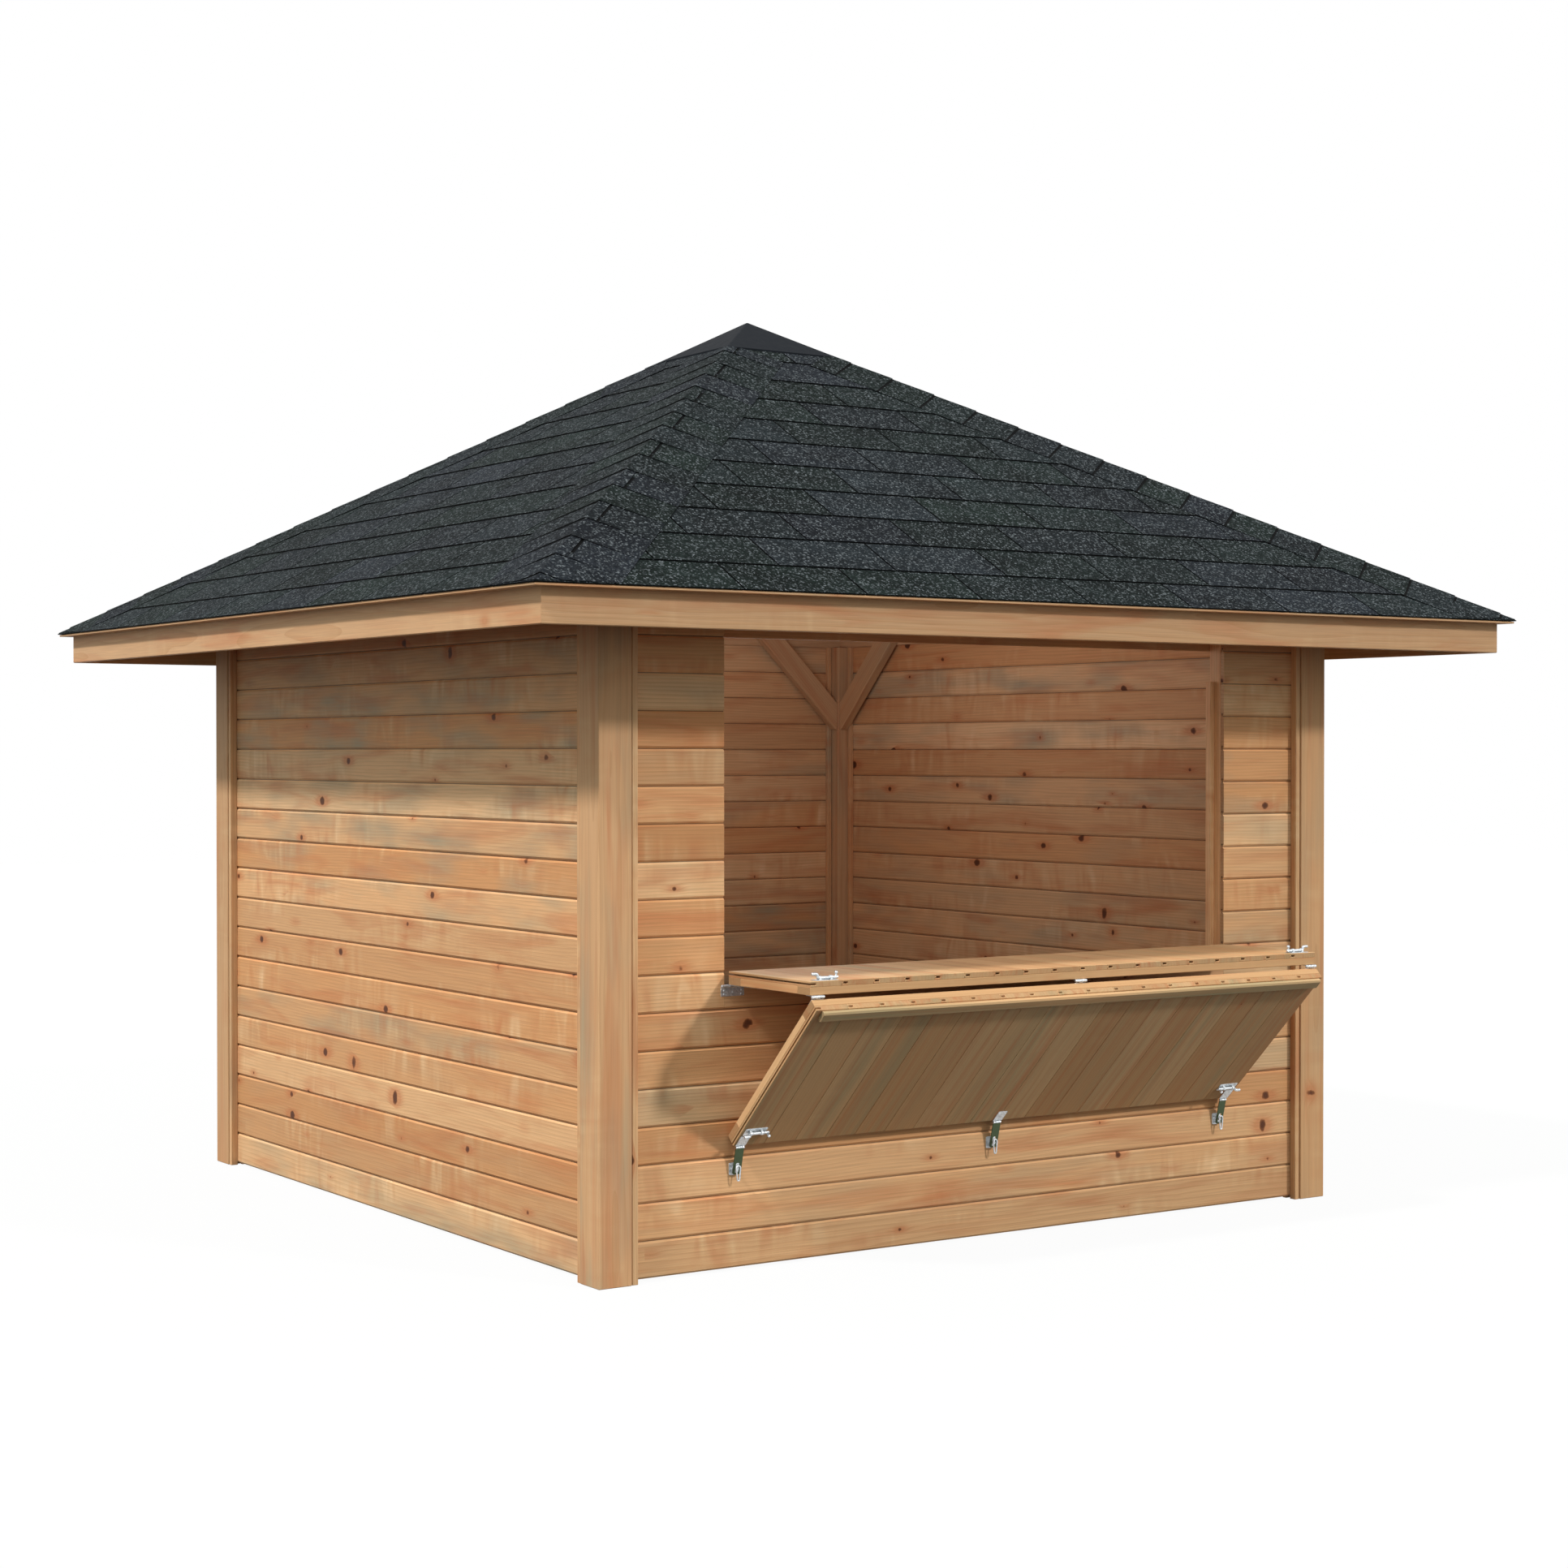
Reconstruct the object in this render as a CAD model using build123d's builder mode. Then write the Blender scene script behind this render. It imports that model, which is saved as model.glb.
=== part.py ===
# Timber garden kiosk with a pyramid roof and a folding counter hatch.
# Millimetres, +Z up. The origin is the middle of the plan at ground level. The hatch side faces -Y.
import os
from math import radians, sqrt, tan

from build123d import *

# Posts and plan
plan_half = 1560
post_size = 120
post_height = 2150
post_edge_break = 3

# Boarded walls: tongue-and-groove boards with a V joint on both faces
course = 119
course_count = 18
panel_start_course = 7
board_thick = 18
wall_setback = 32
wall_bottom = 8
joint_depth = 4
batten_width = 24
batten_setback = 4
batten_inner_depth = 20

# Hatch opening
opening_half = 1080
sill_height = 910
head_height = 2066
stud_width = 45
reveal_depth = 77
stop_width = 20
stop_front = 49
stop_top = 1920
head_rail_bottom = 2033
head_rail_height = 55
head_rail_thick = 24
head_rail_half = 1100
stud_top = 2060
sill_rail_height = 45

# Folding hatch: a counter leaf hinged at the sill and a drop leaf hinged to its front edge
leaf_half = 1070
leaf_board = 18
leaf_frame = 25
frame_width = 70
counter_depth = 462
drop_length = 667
drop_rest_angle = 45
edge_gap = 5
edge_strip_width = 40
edge_strip_left = 1030
edge_strip_right = 1054
edge_strip_thick = 18

# Hinges, hasps and bolts
hinge_radius = 5
hinge_height = 915
knuckle_gap = 0.5
hinge_pin_radius = 2.5
pin_clearance = 0.3
plate_thick = 2
hinge_leaf_width = 33
leaf_plate_start = 6.5
strap_hinge_places = (-1050, 0, 1050)
strap_hinge_length = 88
strap_hinge_middle = 30
strap_length = 190
strap_root = 34
strap_tip = 22
strap_straight = 20
butt_hinge_places = (-1045, 0, 1045)
butt_hinge_length = 46
butt_hinge_middle = 16
hasp_places = (-1044, 0, 1044)
hasp_plate = (38, 50)
hasp_strap = (32, 92)
hasp_slot = (16, 36)
hasp_slot_place = 70
hasp_strap_angle = 31
hasp_knuckle_radius = 4
hasp_thick = 2.5
staple_plate = 40
staple_height = 328
staple_eye_thick = 5
staple_eye_height = 14
staple_eye_reach = 22
staple_eye_rim = 1
bolt_plate = (84, 34)
counter_bolt_place = (960, 20)
drop_bolt_place = (976, 70)
bolt_radius = 5
bolt_lift = 1
bolt_crank = 12
bolt_crank_reach = 70
bolt_reach = 92
bolt_guide = (9, 24, 15)
bolt_knob_radius = 6
bolt_stem_radius = 3.5
bolt_knob_rise = 14

# Roof
slope = 30
shingle_edge_half = 2049
shingle_edge_height = 2148
shingle_thick = 7
deck_thick = 20.8
fascia_half = 2000
fascia_thick = 20
fascia_bottom = 2029
fascia_top = 2140
lath_half = 2033
lath_step_half = 2043
lath_step_height = 2143.5
lath_bottom = 2136.5
cap_half = 250
cap_thick = 4
hip_cap_half = 203
rafter_width = 45
rafter_depth = 95
hip_rafter_depth = 120
jack_place = 760
block_across = 140
block_sides = 8
block_height = 260
beam_thick = 70
beam_top = 2310
brace_depth = 95
brace_thick = 45
brace_bottom = 1757
brace_tip_cut = 12
brace_top = 2270

# Values worked out from the driving dimensions
pitch = tan(radians(slope))
post_inner = plan_half - post_size
wall_face = plan_half - wall_setback
wall_back = wall_face - board_thick
batten_face = plan_half - batten_setback
batten_back = wall_back - batten_inner_depth
beam_inner = plan_half - beam_thick
side_panel_bottom = wall_bottom + panel_start_course * course
shingle_apex = shingle_edge_height + shingle_edge_half * pitch
deck_apex = shingle_apex - shingle_thick
rafter_apex = deck_apex - deck_thick
leaf_thick = leaf_board + leaf_frame
hinge_y = -wall_face - hinge_radius
counter_back = hinge_y - edge_gap
counter_front = counter_back - counter_depth
drop_hinge_y = counter_front - edge_gap

sides = ("front", "right", "back", "left")
corners = ("front_left", "front_right", "back_right", "back_left")

os.makedirs("parts", exist_ok=True)


def side_frame(k):
    # Front frame turned by k quarter turns: local -Y points outwards, local +X runs along the wall
    return Plane.XY.rotated((0, 0, 90 * k))


def section_plane(k, x=0):
    # Upright plane across side k at x along it: sketch x is local +Y (inwards), sketch y is up
    frame = side_frame(k)
    return Plane(origin=frame.from_local_coords((x, 0, 0)), x_dir=frame.y_dir, z_dir=frame.x_dir)


def slab(x0, x1, y0, y1, z0, z1):
    with Locations(((x0 + x1) / 2, (y0 + y1) / 2, (z0 + z1) / 2)):
        Box(x1 - x0, y1 - y0, z1 - z0)


def hand_in(builder, name):
    builder.part.label = name
    export_step(builder.part, f"parts/{name}.step")


# Corner posts with broken edges
for k, name in enumerate(corners):
    with BuildPart(side_frame(k)) as post:
        slab(-plan_half, -post_inner, -plan_half, -post_inner, 0, post_height)
        fillet(post.edges().filter_by(Axis.Z), post_edge_break)
    hand_in(post, f"{name}_post")


def boarded_wall(k, x0, x1, z0, z1):
    # One run of boards: the V joints of every course are in the extruded section
    joints = [wall_bottom + course * n for n in range(1, course_count)]
    joints = [z for z in joints if z0 + joint_depth < z < z1 - joint_depth]
    outer = [(-wall_face, z0)]
    inner = [(-wall_back, z0)]
    for z in joints:
        low, high = z - joint_depth, z + joint_depth
        outer += [(-wall_face, low), (-wall_face + joint_depth, z), (-wall_face, high)]
        inner += [(-wall_back, low), (-wall_back - joint_depth, z), (-wall_back, high)]
    outer.append((-wall_face, z1))
    inner.append((-wall_back, z1))
    with BuildPart() as wall:
        with BuildSketch(section_plane(k, x0)):
            with BuildLine():
                Polyline(*outer, *reversed(inner), close=True)
            make_face()
        extrude(amount=x1 - x0)
    return wall


for k, name in ((1, "right_wall"), (2, "back_wall"), (3, "left_wall")):
    hand_in(boarded_wall(k, -post_inner, post_inner, wall_bottom, post_height), name)
hand_in(boarded_wall(0, -post_inner, post_inner, wall_bottom, side_panel_bottom), "front_lower_wall")
hand_in(boarded_wall(0, -post_inner, -opening_half, side_panel_bottom, post_height), "front_left_panel")
hand_in(boarded_wall(0, opening_half, post_inner, side_panel_bottom, post_height), "front_right_panel")
hand_in(boarded_wall(0, -opening_half, opening_half, side_panel_bottom, sill_height), "sill_board")
hand_in(boarded_wall(0, -opening_half, opening_half, head_height, post_height), "head_board")

# Fixing battens outside and inside the boards, against every post
for name, near, far in (
    ("outer_battens", batten_face, wall_face),
    ("inner_battens", wall_back, batten_back),
):
    with BuildPart() as battens:
        for k in range(4):
            frame = side_frame(k)
            for x in (-post_inner + batten_width / 2, post_inner - batten_width / 2):
                middle = frame.from_local_coords((x, -(near + far) / 2, post_height / 2))
                with Locations(Location(middle, (0, 0, 90 * k))):
                    Box(batten_width, near - far, post_height)
    hand_in(battens, name)

# Framing of the hatch opening
stud_back = -wall_face + reveal_depth
with BuildPart() as jamb_studs:
    for near in (-opening_half - stud_width, opening_half):
        slab(near, near + stud_width, -wall_back, stud_back, 0, stud_top)
hand_in(jamb_studs, "jamb_studs")

with BuildPart() as hatch_stops:
    for near in (-opening_half, opening_half - stop_width):
        slab(near, near + stop_width, -wall_face + stop_front, stud_back, sill_height, stop_top)
hand_in(hatch_stops, "hatch_stops")

with BuildPart() as sill_rail:
    slab(-opening_half, opening_half, -wall_back, stud_back, sill_height - sill_rail_height, sill_height)
hand_in(sill_rail, "sill_rail")

with BuildPart() as head_rail:
    slab(-head_rail_half, head_rail_half, stud_back, stud_back + head_rail_thick,
         head_rail_bottom, head_rail_bottom + head_rail_height)
hand_in(head_rail, "head_rail")

# Ring beams on the posts: front and back run through, left and right fit between them
for k, name in enumerate(sides):
    half = plan_half if k % 2 == 0 else beam_inner
    with BuildPart(side_frame(k)) as beam:
        slab(-half, half, -plan_half, -beam_inner, post_height, beam_top)
    hand_in(beam, f"{name}_beam")

# Knee braces: plumb cut on the post, lapped against the inner face of the beam
brace_plumb = brace_depth * sqrt(2)
with BuildPart() as knee_braces:
    for k in range(4):
        for hand in (-1, 1):
            frame = side_frame(k)
            face = Plane(
                origin=frame.from_local_coords((0, -beam_inner, 0)),
                x_dir=frame.x_dir * hand,
                z_dir=frame.y_dir * -hand,
            )
            reach = brace_top - brace_bottom
            with BuildSketch(face):
                with BuildLine():
                    Polyline(
                        (post_inner, brace_bottom + brace_tip_cut),
                        (post_inner, brace_bottom + brace_plumb),
                        (post_inner - reach + brace_plumb, brace_top),
                        (post_inner - reach, brace_top),
                        (post_inner - brace_tip_cut, brace_bottom + brace_tip_cut),
                        close=True,
                    )
                make_face()
            extrude(amount=-hand * brace_thick)
hand_in(knee_braces, "knee_braces")


def eave_piece(k, outline):
    # A roof piece of side k: its section runs along the eave and is mitred on both hips
    frame = side_frame(k)
    with BuildPart() as piece:
        with BuildSketch(section_plane(k)):
            with BuildLine():
                Polyline(*[(-out, z) for out, z in outline], close=True)
            make_face()
        extrude(amount=shingle_edge_half, both=True)
        for hand in (-1, 1):
            hip = Plane(origin=(0, 0, 0), z_dir=frame.x_dir * hand + frame.y_dir)
            split(bisect_by=hip, keep=Keep.BOTTOM)
    return piece


def sloped_sheet(top, thick, half, inner=0):
    return [
        (inner, top - inner * pitch - thick),
        (half, top - half * pitch - thick),
        (half, top - half * pitch),
        (inner, top - inner * pitch),
    ]


# Roof covering, deck and fascia of each side
for k, name in enumerate(sides):
    hand_in(eave_piece(k, sloped_sheet(shingle_apex, shingle_thick, shingle_edge_half)), f"{name}_shingles")
    hand_in(eave_piece(k, sloped_sheet(deck_apex, deck_thick, fascia_half)), f"{name}_roof_deck")
    fascia_outline = [
        (fascia_half - fascia_thick, fascia_bottom),
        (fascia_half, fascia_bottom),
        (fascia_half, fascia_top),
        (fascia_half - fascia_thick, fascia_top),
    ]
    hand_in(eave_piece(k, fascia_outline), f"{name}_fascia")

# Two-step drip lath round the eave, under the overhang of the shingles
lath_outline = [
    (fascia_half, lath_bottom),
    (lath_step_half, lath_bottom),
    (lath_step_half, lath_step_height),
    (lath_half, lath_step_height),
    (lath_half, deck_apex - lath_half * pitch),
    (fascia_half, deck_apex - fascia_half * pitch),
]
with BuildPart() as drip_lath:
    for k in range(4):
        add(eave_piece(k, lath_outline).part)
hand_in(drip_lath, "drip_lath")

# Folded cap over the apex and strips of cap shingles down the hips
cap_outline = sloped_sheet(shingle_apex + cap_thick, cap_thick, cap_half)
with BuildPart() as apex_cap:
    for k in range(4):
        add(eave_piece(k, cap_outline).part)
hand_in(apex_cap, "apex_cap")

hip_outline = sloped_sheet(shingle_apex + cap_thick, cap_thick, shingle_edge_half, cap_half)
with BuildPart() as hip_caps:
    for k in range(4):
        add(eave_piece(k, hip_outline).part)
    with BuildSketch(Plane.XY) as hip_bands:
        for turn in (45, 135):
            Rectangle(3 * shingle_edge_half, 2 * hip_cap_half, rotation=turn)
    extrude(amount=2 * shingle_apex, mode=Mode.INTERSECT)
hand_in(hip_caps, "hip_caps")

# Apex block and rafters
block_half = block_across / 2
block_top = rafter_apex - block_half * pitch
with BuildPart() as apex_block:
    with BuildSketch(Plane.XY.offset(block_top - block_height)):
        RegularPolygon(block_half, block_sides, major_radius=False, rotation=180 / block_sides)
    extrude(amount=block_height)
hand_in(apex_block, "apex_block")


def rafter_section(top, fall, depth, inner, tail, seat):
    # Rafter side view: plumb ends and a level seat cut over the beam
    drop = depth * sqrt(1 + fall * fall)
    under = top - drop
    return [
        (inner, top - inner * fall),
        (tail, top - tail * fall),
        (tail, under - tail * fall),
        (seat, under - seat * fall),
        (seat, beam_top),
        ((under - beam_top) / fall, beam_top),
        (inner, under - inner * fall),
    ]


def rafter(plane, section):
    with BuildPart() as piece:
        with BuildSketch(plane):
            with BuildLine():
                Polyline(*[(-out, z) for out, z in section], close=True)
            make_face()
        extrude(amount=rafter_width / 2, both=True)
    return piece


hip_fall = pitch / sqrt(2)
hip_drop = rafter_width / 2 * hip_fall
tail_half = fascia_half - fascia_thick
common_section = rafter_section(rafter_apex, pitch, rafter_depth, block_half, tail_half, plan_half)
hip_section = rafter_section(
    rafter_apex - hip_drop, hip_fall, hip_rafter_depth,
    block_half, tail_half * sqrt(2) - rafter_width / 2, plan_half * sqrt(2),
)
with BuildPart() as hip_rafters:
    for k in range(4):
        add(rafter(section_plane(k + 0.5), hip_section).part)
hand_in(hip_rafters, "hip_rafters")

with BuildPart() as rafters:
    for k in range(4):
        add(rafter(section_plane(k), common_section).part)
        for x in (-jack_place, jack_place):
            jack = rafter(section_plane(k, x), common_section)
            frame = side_frame(k)
            hand = 1 if x > 0 else -1
            hip_side = Plane(
                origin=frame.from_local_coords((0, -rafter_width / sqrt(2), 0)),
                z_dir=frame.x_dir * hand + frame.y_dir,
            )
            add(split(jack.part, bisect_by=hip_side, keep=Keep.BOTTOM, mode=Mode.PRIVATE))
hand_in(rafters, "rafters")

# Hatch leaves. Each leaf has a plane with its origin on its own hinge line: local X along the hinge,
# local -Y from the hinge towards the free edge, local +Z out of the face that is inside when closed.
counter_plane = Plane(origin=(0, hinge_y, hinge_height))
rest_turn = 180 - drop_rest_angle
drop_plane = Plane(origin=(0, drop_hinge_y, hinge_height)).rotated((rest_turn, 0, 0))


def leaf_boards(plane, length):
    with BuildPart(plane) as boards:
        bottom = hinge_radius + leaf_frame
        slab(-leaf_half, leaf_half, -edge_gap - length, -edge_gap, bottom, bottom + leaf_board)
    return boards


def leaf_frame_ring(plane, length):
    # Rails and stiles under the boards, one glued frame
    middle = -edge_gap - length / 2
    with BuildPart(plane) as ring:
        with Locations((0, middle, hinge_radius + leaf_frame / 2)):
            Box(2 * leaf_half, length, leaf_frame)
            Box(2 * (leaf_half - frame_width), length - 2 * frame_width, leaf_frame, mode=Mode.SUBTRACT)
    return ring


hand_in(leaf_boards(counter_plane, counter_depth), "counter_boards")
hand_in(leaf_frame_ring(counter_plane, counter_depth), "counter_frame")
hand_in(leaf_boards(drop_plane, drop_length), "drop_leaf_boards")
hand_in(leaf_frame_ring(drop_plane, drop_length), "drop_leaf_frame")

leaf_top = hinge_radius + leaf_thick
with BuildPart(drop_plane) as edge_strip:
    slab(-edge_strip_left, edge_strip_right, -edge_gap - edge_strip_width, -edge_gap,
         leaf_top, leaf_top + edge_strip_thick)
hand_in(edge_strip, "drop_leaf_edge_strip")


def hinge_half(plane, hinge, with_pin, turned=False, strap=False):
    # Half a hinge on its pin line: a plate or a tapered strap tangent to the knuckles, lying on the face
    # of the leaf. The half with the pin has the two end knuckles, the other has the bored middle knuckle.
    length, middle = hinge
    away = 1 if turned else -1
    end_length = (length - middle) / 2 - knuckle_gap
    end_middle = (length - end_length) / 2
    plate_middle = hinge_radius - plate_thick / 2
    with BuildPart(plane) as half:
        if strap:
            tip_middle = strap_tip / 2 - strap_length
            with BuildSketch(plane.offset(hinge_radius - plate_thick)):
                with BuildLine():
                    Polyline(
                        (-strap_tip / 2, tip_middle),
                        (-strap_root / 2, -strap_straight),
                        (-strap_root / 2, -leaf_plate_start),
                        (strap_root / 2, -leaf_plate_start),
                        (strap_root / 2, -strap_straight),
                        (strap_tip / 2, tip_middle),
                    )
                    ThreePointArc(
                        (strap_tip / 2, tip_middle), (0, -strap_length), (-strap_tip / 2, tip_middle)
                    )
                make_face()
            extrude(amount=plate_thick)
        else:
            across = leaf_plate_start + (hinge_leaf_width - leaf_plate_start) / 2
            with Locations((0, away * across, plate_middle)):
                Box(length, hinge_leaf_width - leaf_plate_start, plate_thick)
        knuckles = (-end_middle, end_middle) if with_pin else (0,)
        knuckle_length = end_length if with_pin else middle
        for x in knuckles:
            with Locations((x, away * leaf_plate_start / 2, plate_middle)):
                Box(knuckle_length, leaf_plate_start, plate_thick)
            with Locations((x, 0, 0)):
                Cylinder(hinge_radius, knuckle_length, rotation=(0, 90, 0))
        if with_pin:
            Cylinder(hinge_pin_radius, length, rotation=(0, 90, 0))
        else:
            Cylinder(hinge_pin_radius + pin_clearance, length, rotation=(0, 90, 0), mode=Mode.SUBTRACT)
    return half


def at_places(plane, places):
    origins = [plane.from_local_coords((x, 0, 0)) for x in places]
    return [Plane(origin=origin, x_dir=plane.x_dir, z_dir=plane.z_dir) for origin in origins]


# T hinges at the wall: their plates lie flat on the boards under the sill, in a plane with +Z pointing
# at the wall and +Y down
strap_hinge = (strap_hinge_length, strap_hinge_middle)
butt_hinge = (butt_hinge_length, butt_hinge_middle)
wall_hinge_plane = Plane(origin=(0, hinge_y, hinge_height), x_dir=(1, 0, 0), z_dir=(0, 1, 0))
with BuildPart() as wall_hinges:
    for place in at_places(wall_hinge_plane, strap_hinge_places):
        add(hinge_half(place, strap_hinge, with_pin=True, turned=True).part)
hand_in(wall_hinges, "wall_hinge_leaves")

# Halves on the counter: straps under it from the wall, and butt hinges with the pins at its front edge
front_hinge_plane = Plane(origin=(0, drop_hinge_y, hinge_height))
with BuildPart() as counter_hinges:
    for place in at_places(counter_plane, strap_hinge_places):
        add(hinge_half(place, strap_hinge, with_pin=False, strap=True).part)
    for place in at_places(front_hinge_plane, butt_hinge_places):
        add(hinge_half(place, butt_hinge, with_pin=True, turned=True).part)
hand_in(counter_hinges, "counter_hinge_leaves")

with BuildPart() as drop_hinges:
    for place in at_places(drop_plane, butt_hinge_places):
        add(hinge_half(place, butt_hinge, with_pin=False).part)
hand_in(drop_hinges, "drop_leaf_hinge_leaves")

# Hasps at the free edge of the drop leaf: a screwed plate, a knuckle and a slotted strap to the wall
tip = -edge_gap - drop_length
knuckle_place = (0, tip - hasp_knuckle_radius, leaf_top + hasp_knuckle_radius)


def hasp_at(place):
    strap_plane = Plane(
        origin=place.from_local_coords(knuckle_place), x_dir=place.x_dir, z_dir=place.z_dir
    ).rotated((-hasp_strap_angle, 0, 0))
    width, length = hasp_strap
    with BuildPart(place) as hasp:
        plate_width, plate_length = hasp_plate
        plate_top = leaf_top + hasp_thick
        slab(-plate_width / 2, plate_width / 2, tip, tip + plate_length, leaf_top, plate_top)
        slab(-width / 2, width / 2, tip - hasp_knuckle_radius, tip, leaf_top, plate_top)
        with Locations(knuckle_place):
            Cylinder(hasp_knuckle_radius, width, rotation=(0, 90, 0))
        with BuildSketch(strap_plane) as outline:
            with Locations((0, -length / 2)):
                Rectangle(width, length)
            fillet(outline.vertices().group_by(Axis.Y)[0], width / 3)
            with Locations((0, -hasp_slot_place)):
                Rectangle(*hasp_slot, mode=Mode.SUBTRACT)
        extrude(amount=hasp_thick / 2, both=True)
    return hasp


with BuildPart() as hasps:
    for place in at_places(drop_plane, hasp_places):
        add(hasp_at(place).part)
hand_in(hasps, "hasps")

# Staples on the wall: each eye stands through the slot of its hasp
with BuildPart() as hasp_staples:
    for x in hasp_places:
        plate_front = -wall_face - plate_thick
        slab(x - staple_plate / 2, x + staple_plate / 2, plate_front, -wall_face,
             staple_height - staple_plate / 2, staple_height + staple_plate / 2)
        eye_side = Plane(origin=(x, plate_front, staple_height), x_dir=(0, -1, 0), z_dir=(1, 0, 0))
        with BuildSketch(eye_side):
            with Locations((staple_eye_reach / 2, 0)):
                SlotOverall(staple_eye_reach + staple_eye_height, staple_eye_height)
            with Locations((staple_eye_reach - staple_eye_rim, 0)):
                Circle(staple_eye_height / 4, mode=Mode.SUBTRACT)
            with Locations((-staple_eye_height, 0)):
                Rectangle(2 * staple_eye_height, 2 * staple_eye_height, mode=Mode.SUBTRACT)
        extrude(amount=staple_eye_thick / 2, both=True)
hand_in(hasp_staples, "hasp_staples")


def slide_bolt(plane, length, bolt_place, hand):
    # Cranked bolt on the inner face of a leaf, near its free edge: the tip points at the jamb
    inner, from_edge = bolt_place
    y = -edge_gap - length + from_edge
    rod_height = leaf_top + plate_thick + bolt_radius + bolt_lift
    tip_height = rod_height + bolt_crank
    outer = inner + bolt_plate[0]
    crank = inner + bolt_crank_reach
    with BuildPart(plane) as bolt:
        with Locations((hand * (inner + outer) / 2, y, leaf_top + plate_thick / 2)):
            Box(bolt_plate[0], bolt_plate[1], plate_thick)
        for x in (inner + bolt_plate[0] / 4, outer - bolt_plate[0] / 4):
            with Locations((hand * x, y, leaf_top + bolt_guide[2] / 2)):
                Box(*bolt_guide)
        for start, end, height in (
            (inner - bolt_radius, crank, rod_height),
            (crank, inner + bolt_reach, tip_height),
        ):
            with Locations((hand * (start + end) / 2, y, height)):
                Cylinder(bolt_radius, end - start, rotation=(0, 90, 0))
        with Locations((hand * crank, y, (rod_height + tip_height) / 2)):
            Cylinder(bolt_radius, bolt_crank)
        for height in (rod_height, tip_height):
            with Locations((hand * crank, y, height)):
                Sphere(bolt_radius)
        with Locations((hand * inner, y, rod_height + bolt_knob_rise / 2)):
            Cylinder(bolt_stem_radius, bolt_knob_rise)
        with Locations((hand * inner, y, rod_height + bolt_knob_rise)):
            Sphere(bolt_knob_radius)
    return bolt


for plane, length, bolt_place, name in (
    (counter_plane, counter_depth, counter_bolt_place, "counter_bolts"),
    (drop_plane, drop_length, drop_bolt_place, "drop_leaf_bolts"),
):
    with BuildPart() as bolts:
        for hand in (-1, 1):
            add(slide_bolt(plane, length, bolt_place, hand).part)
    hand_in(bolts, name)
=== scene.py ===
import math
import random
from functools import partial

import bmesh
import bpy
from mathutils import Matrix, Vector


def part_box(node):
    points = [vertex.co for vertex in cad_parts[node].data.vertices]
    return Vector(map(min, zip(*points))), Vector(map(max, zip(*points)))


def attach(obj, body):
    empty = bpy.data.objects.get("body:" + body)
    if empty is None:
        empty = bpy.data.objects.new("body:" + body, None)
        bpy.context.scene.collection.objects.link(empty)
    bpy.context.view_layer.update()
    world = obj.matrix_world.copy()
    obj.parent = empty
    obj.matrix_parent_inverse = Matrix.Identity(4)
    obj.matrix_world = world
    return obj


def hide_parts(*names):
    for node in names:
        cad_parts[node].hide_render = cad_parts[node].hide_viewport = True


# Timber garden kiosk with a shingled pyramid roof and a folding counter hatch.
# Metres, +Z up, the hatch side faces -Y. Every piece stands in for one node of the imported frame.
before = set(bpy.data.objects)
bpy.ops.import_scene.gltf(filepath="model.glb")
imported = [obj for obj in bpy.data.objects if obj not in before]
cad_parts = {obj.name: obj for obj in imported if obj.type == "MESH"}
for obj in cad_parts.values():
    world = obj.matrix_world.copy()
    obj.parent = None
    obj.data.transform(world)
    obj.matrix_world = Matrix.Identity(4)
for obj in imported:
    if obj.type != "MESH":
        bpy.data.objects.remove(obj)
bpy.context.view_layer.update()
print("frame:", len(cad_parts), "nodes")

xAxis, yAxis, zAxis = Vector((1, 0, 0)), Vector((0, 1, 0)), Vector((0, 0, 1))
turns = [Matrix.Rotation(math.radians(90 * k), 4, "Z") for k in range(4)]  # front, right, back, left
sides = ("front", "right", "back", "left")


def srgb(hexCode):
    channels = [int(hexCode[i:i + 2], 16) / 255 for i in (1, 3, 5)]
    return tuple(c / 12.92 if c <= 0.04045 else ((c + 0.055) / 1.055) ** 2.4 for c in channels) + (1.0,)


def perMetre(*sizes):
    # pattern sizes in millimetres to the scale of a texture that reads metres
    return tuple(1000 / size for size in sizes)


def addNode(tree, kind, inputs=(), **settings):
    # inputs go in by position or by socket name: a node or a socket is linked, anything else is a value
    node = tree.nodes.new("ShaderNode" + kind)
    for key, value in settings.items():
        setattr(node, key, value)
    for key, value in inputs.items() if isinstance(inputs, dict) else enumerate(inputs):
        socket = node.inputs[key] if isinstance(key, int) else next(
            s for s in node.inputs if s.enabled and s.name == key)
        if isinstance(value, bpy.types.Node):
            value = next(s for s in value.outputs if s.enabled)
        if isinstance(value, bpy.types.NodeSocket):
            tree.links.new(value, socket)
        else:
            socket.default_value = value
    return node


def newMaterial(name):
    material = bpy.data.materials.new(name)
    material.use_nodes = True
    material.node_tree.nodes.clear()
    return material, material.node_tree


def pieceValues(tree):
    # what every mesh carries for its material, see newKit
    place = addNode(tree, "Attribute", attribute_name="logPlace").outputs["Vector"]
    tone = addNode(tree, "Attribute", attribute_name="boardTone").outputs["Vector"]
    cut = addNode(tree, "Attribute", attribute_name="cutFace").outputs["Fac"]
    return place, addNode(tree, "SeparateXYZ", [tone]), cut


def streaks(tree, place, sizes, shift=(0.0, 0.0, 0.0), **settings):
    # a noise pattern drawn out to the given millimetres along, across and into the log
    where = addNode(tree, "VectorMath", [place, perMetre(*sizes), shift], operation="MULTIPLY_ADD")
    return addNode(tree, "TexNoise", {"Vector": where, "Scale": 1.0, **settings})


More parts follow.
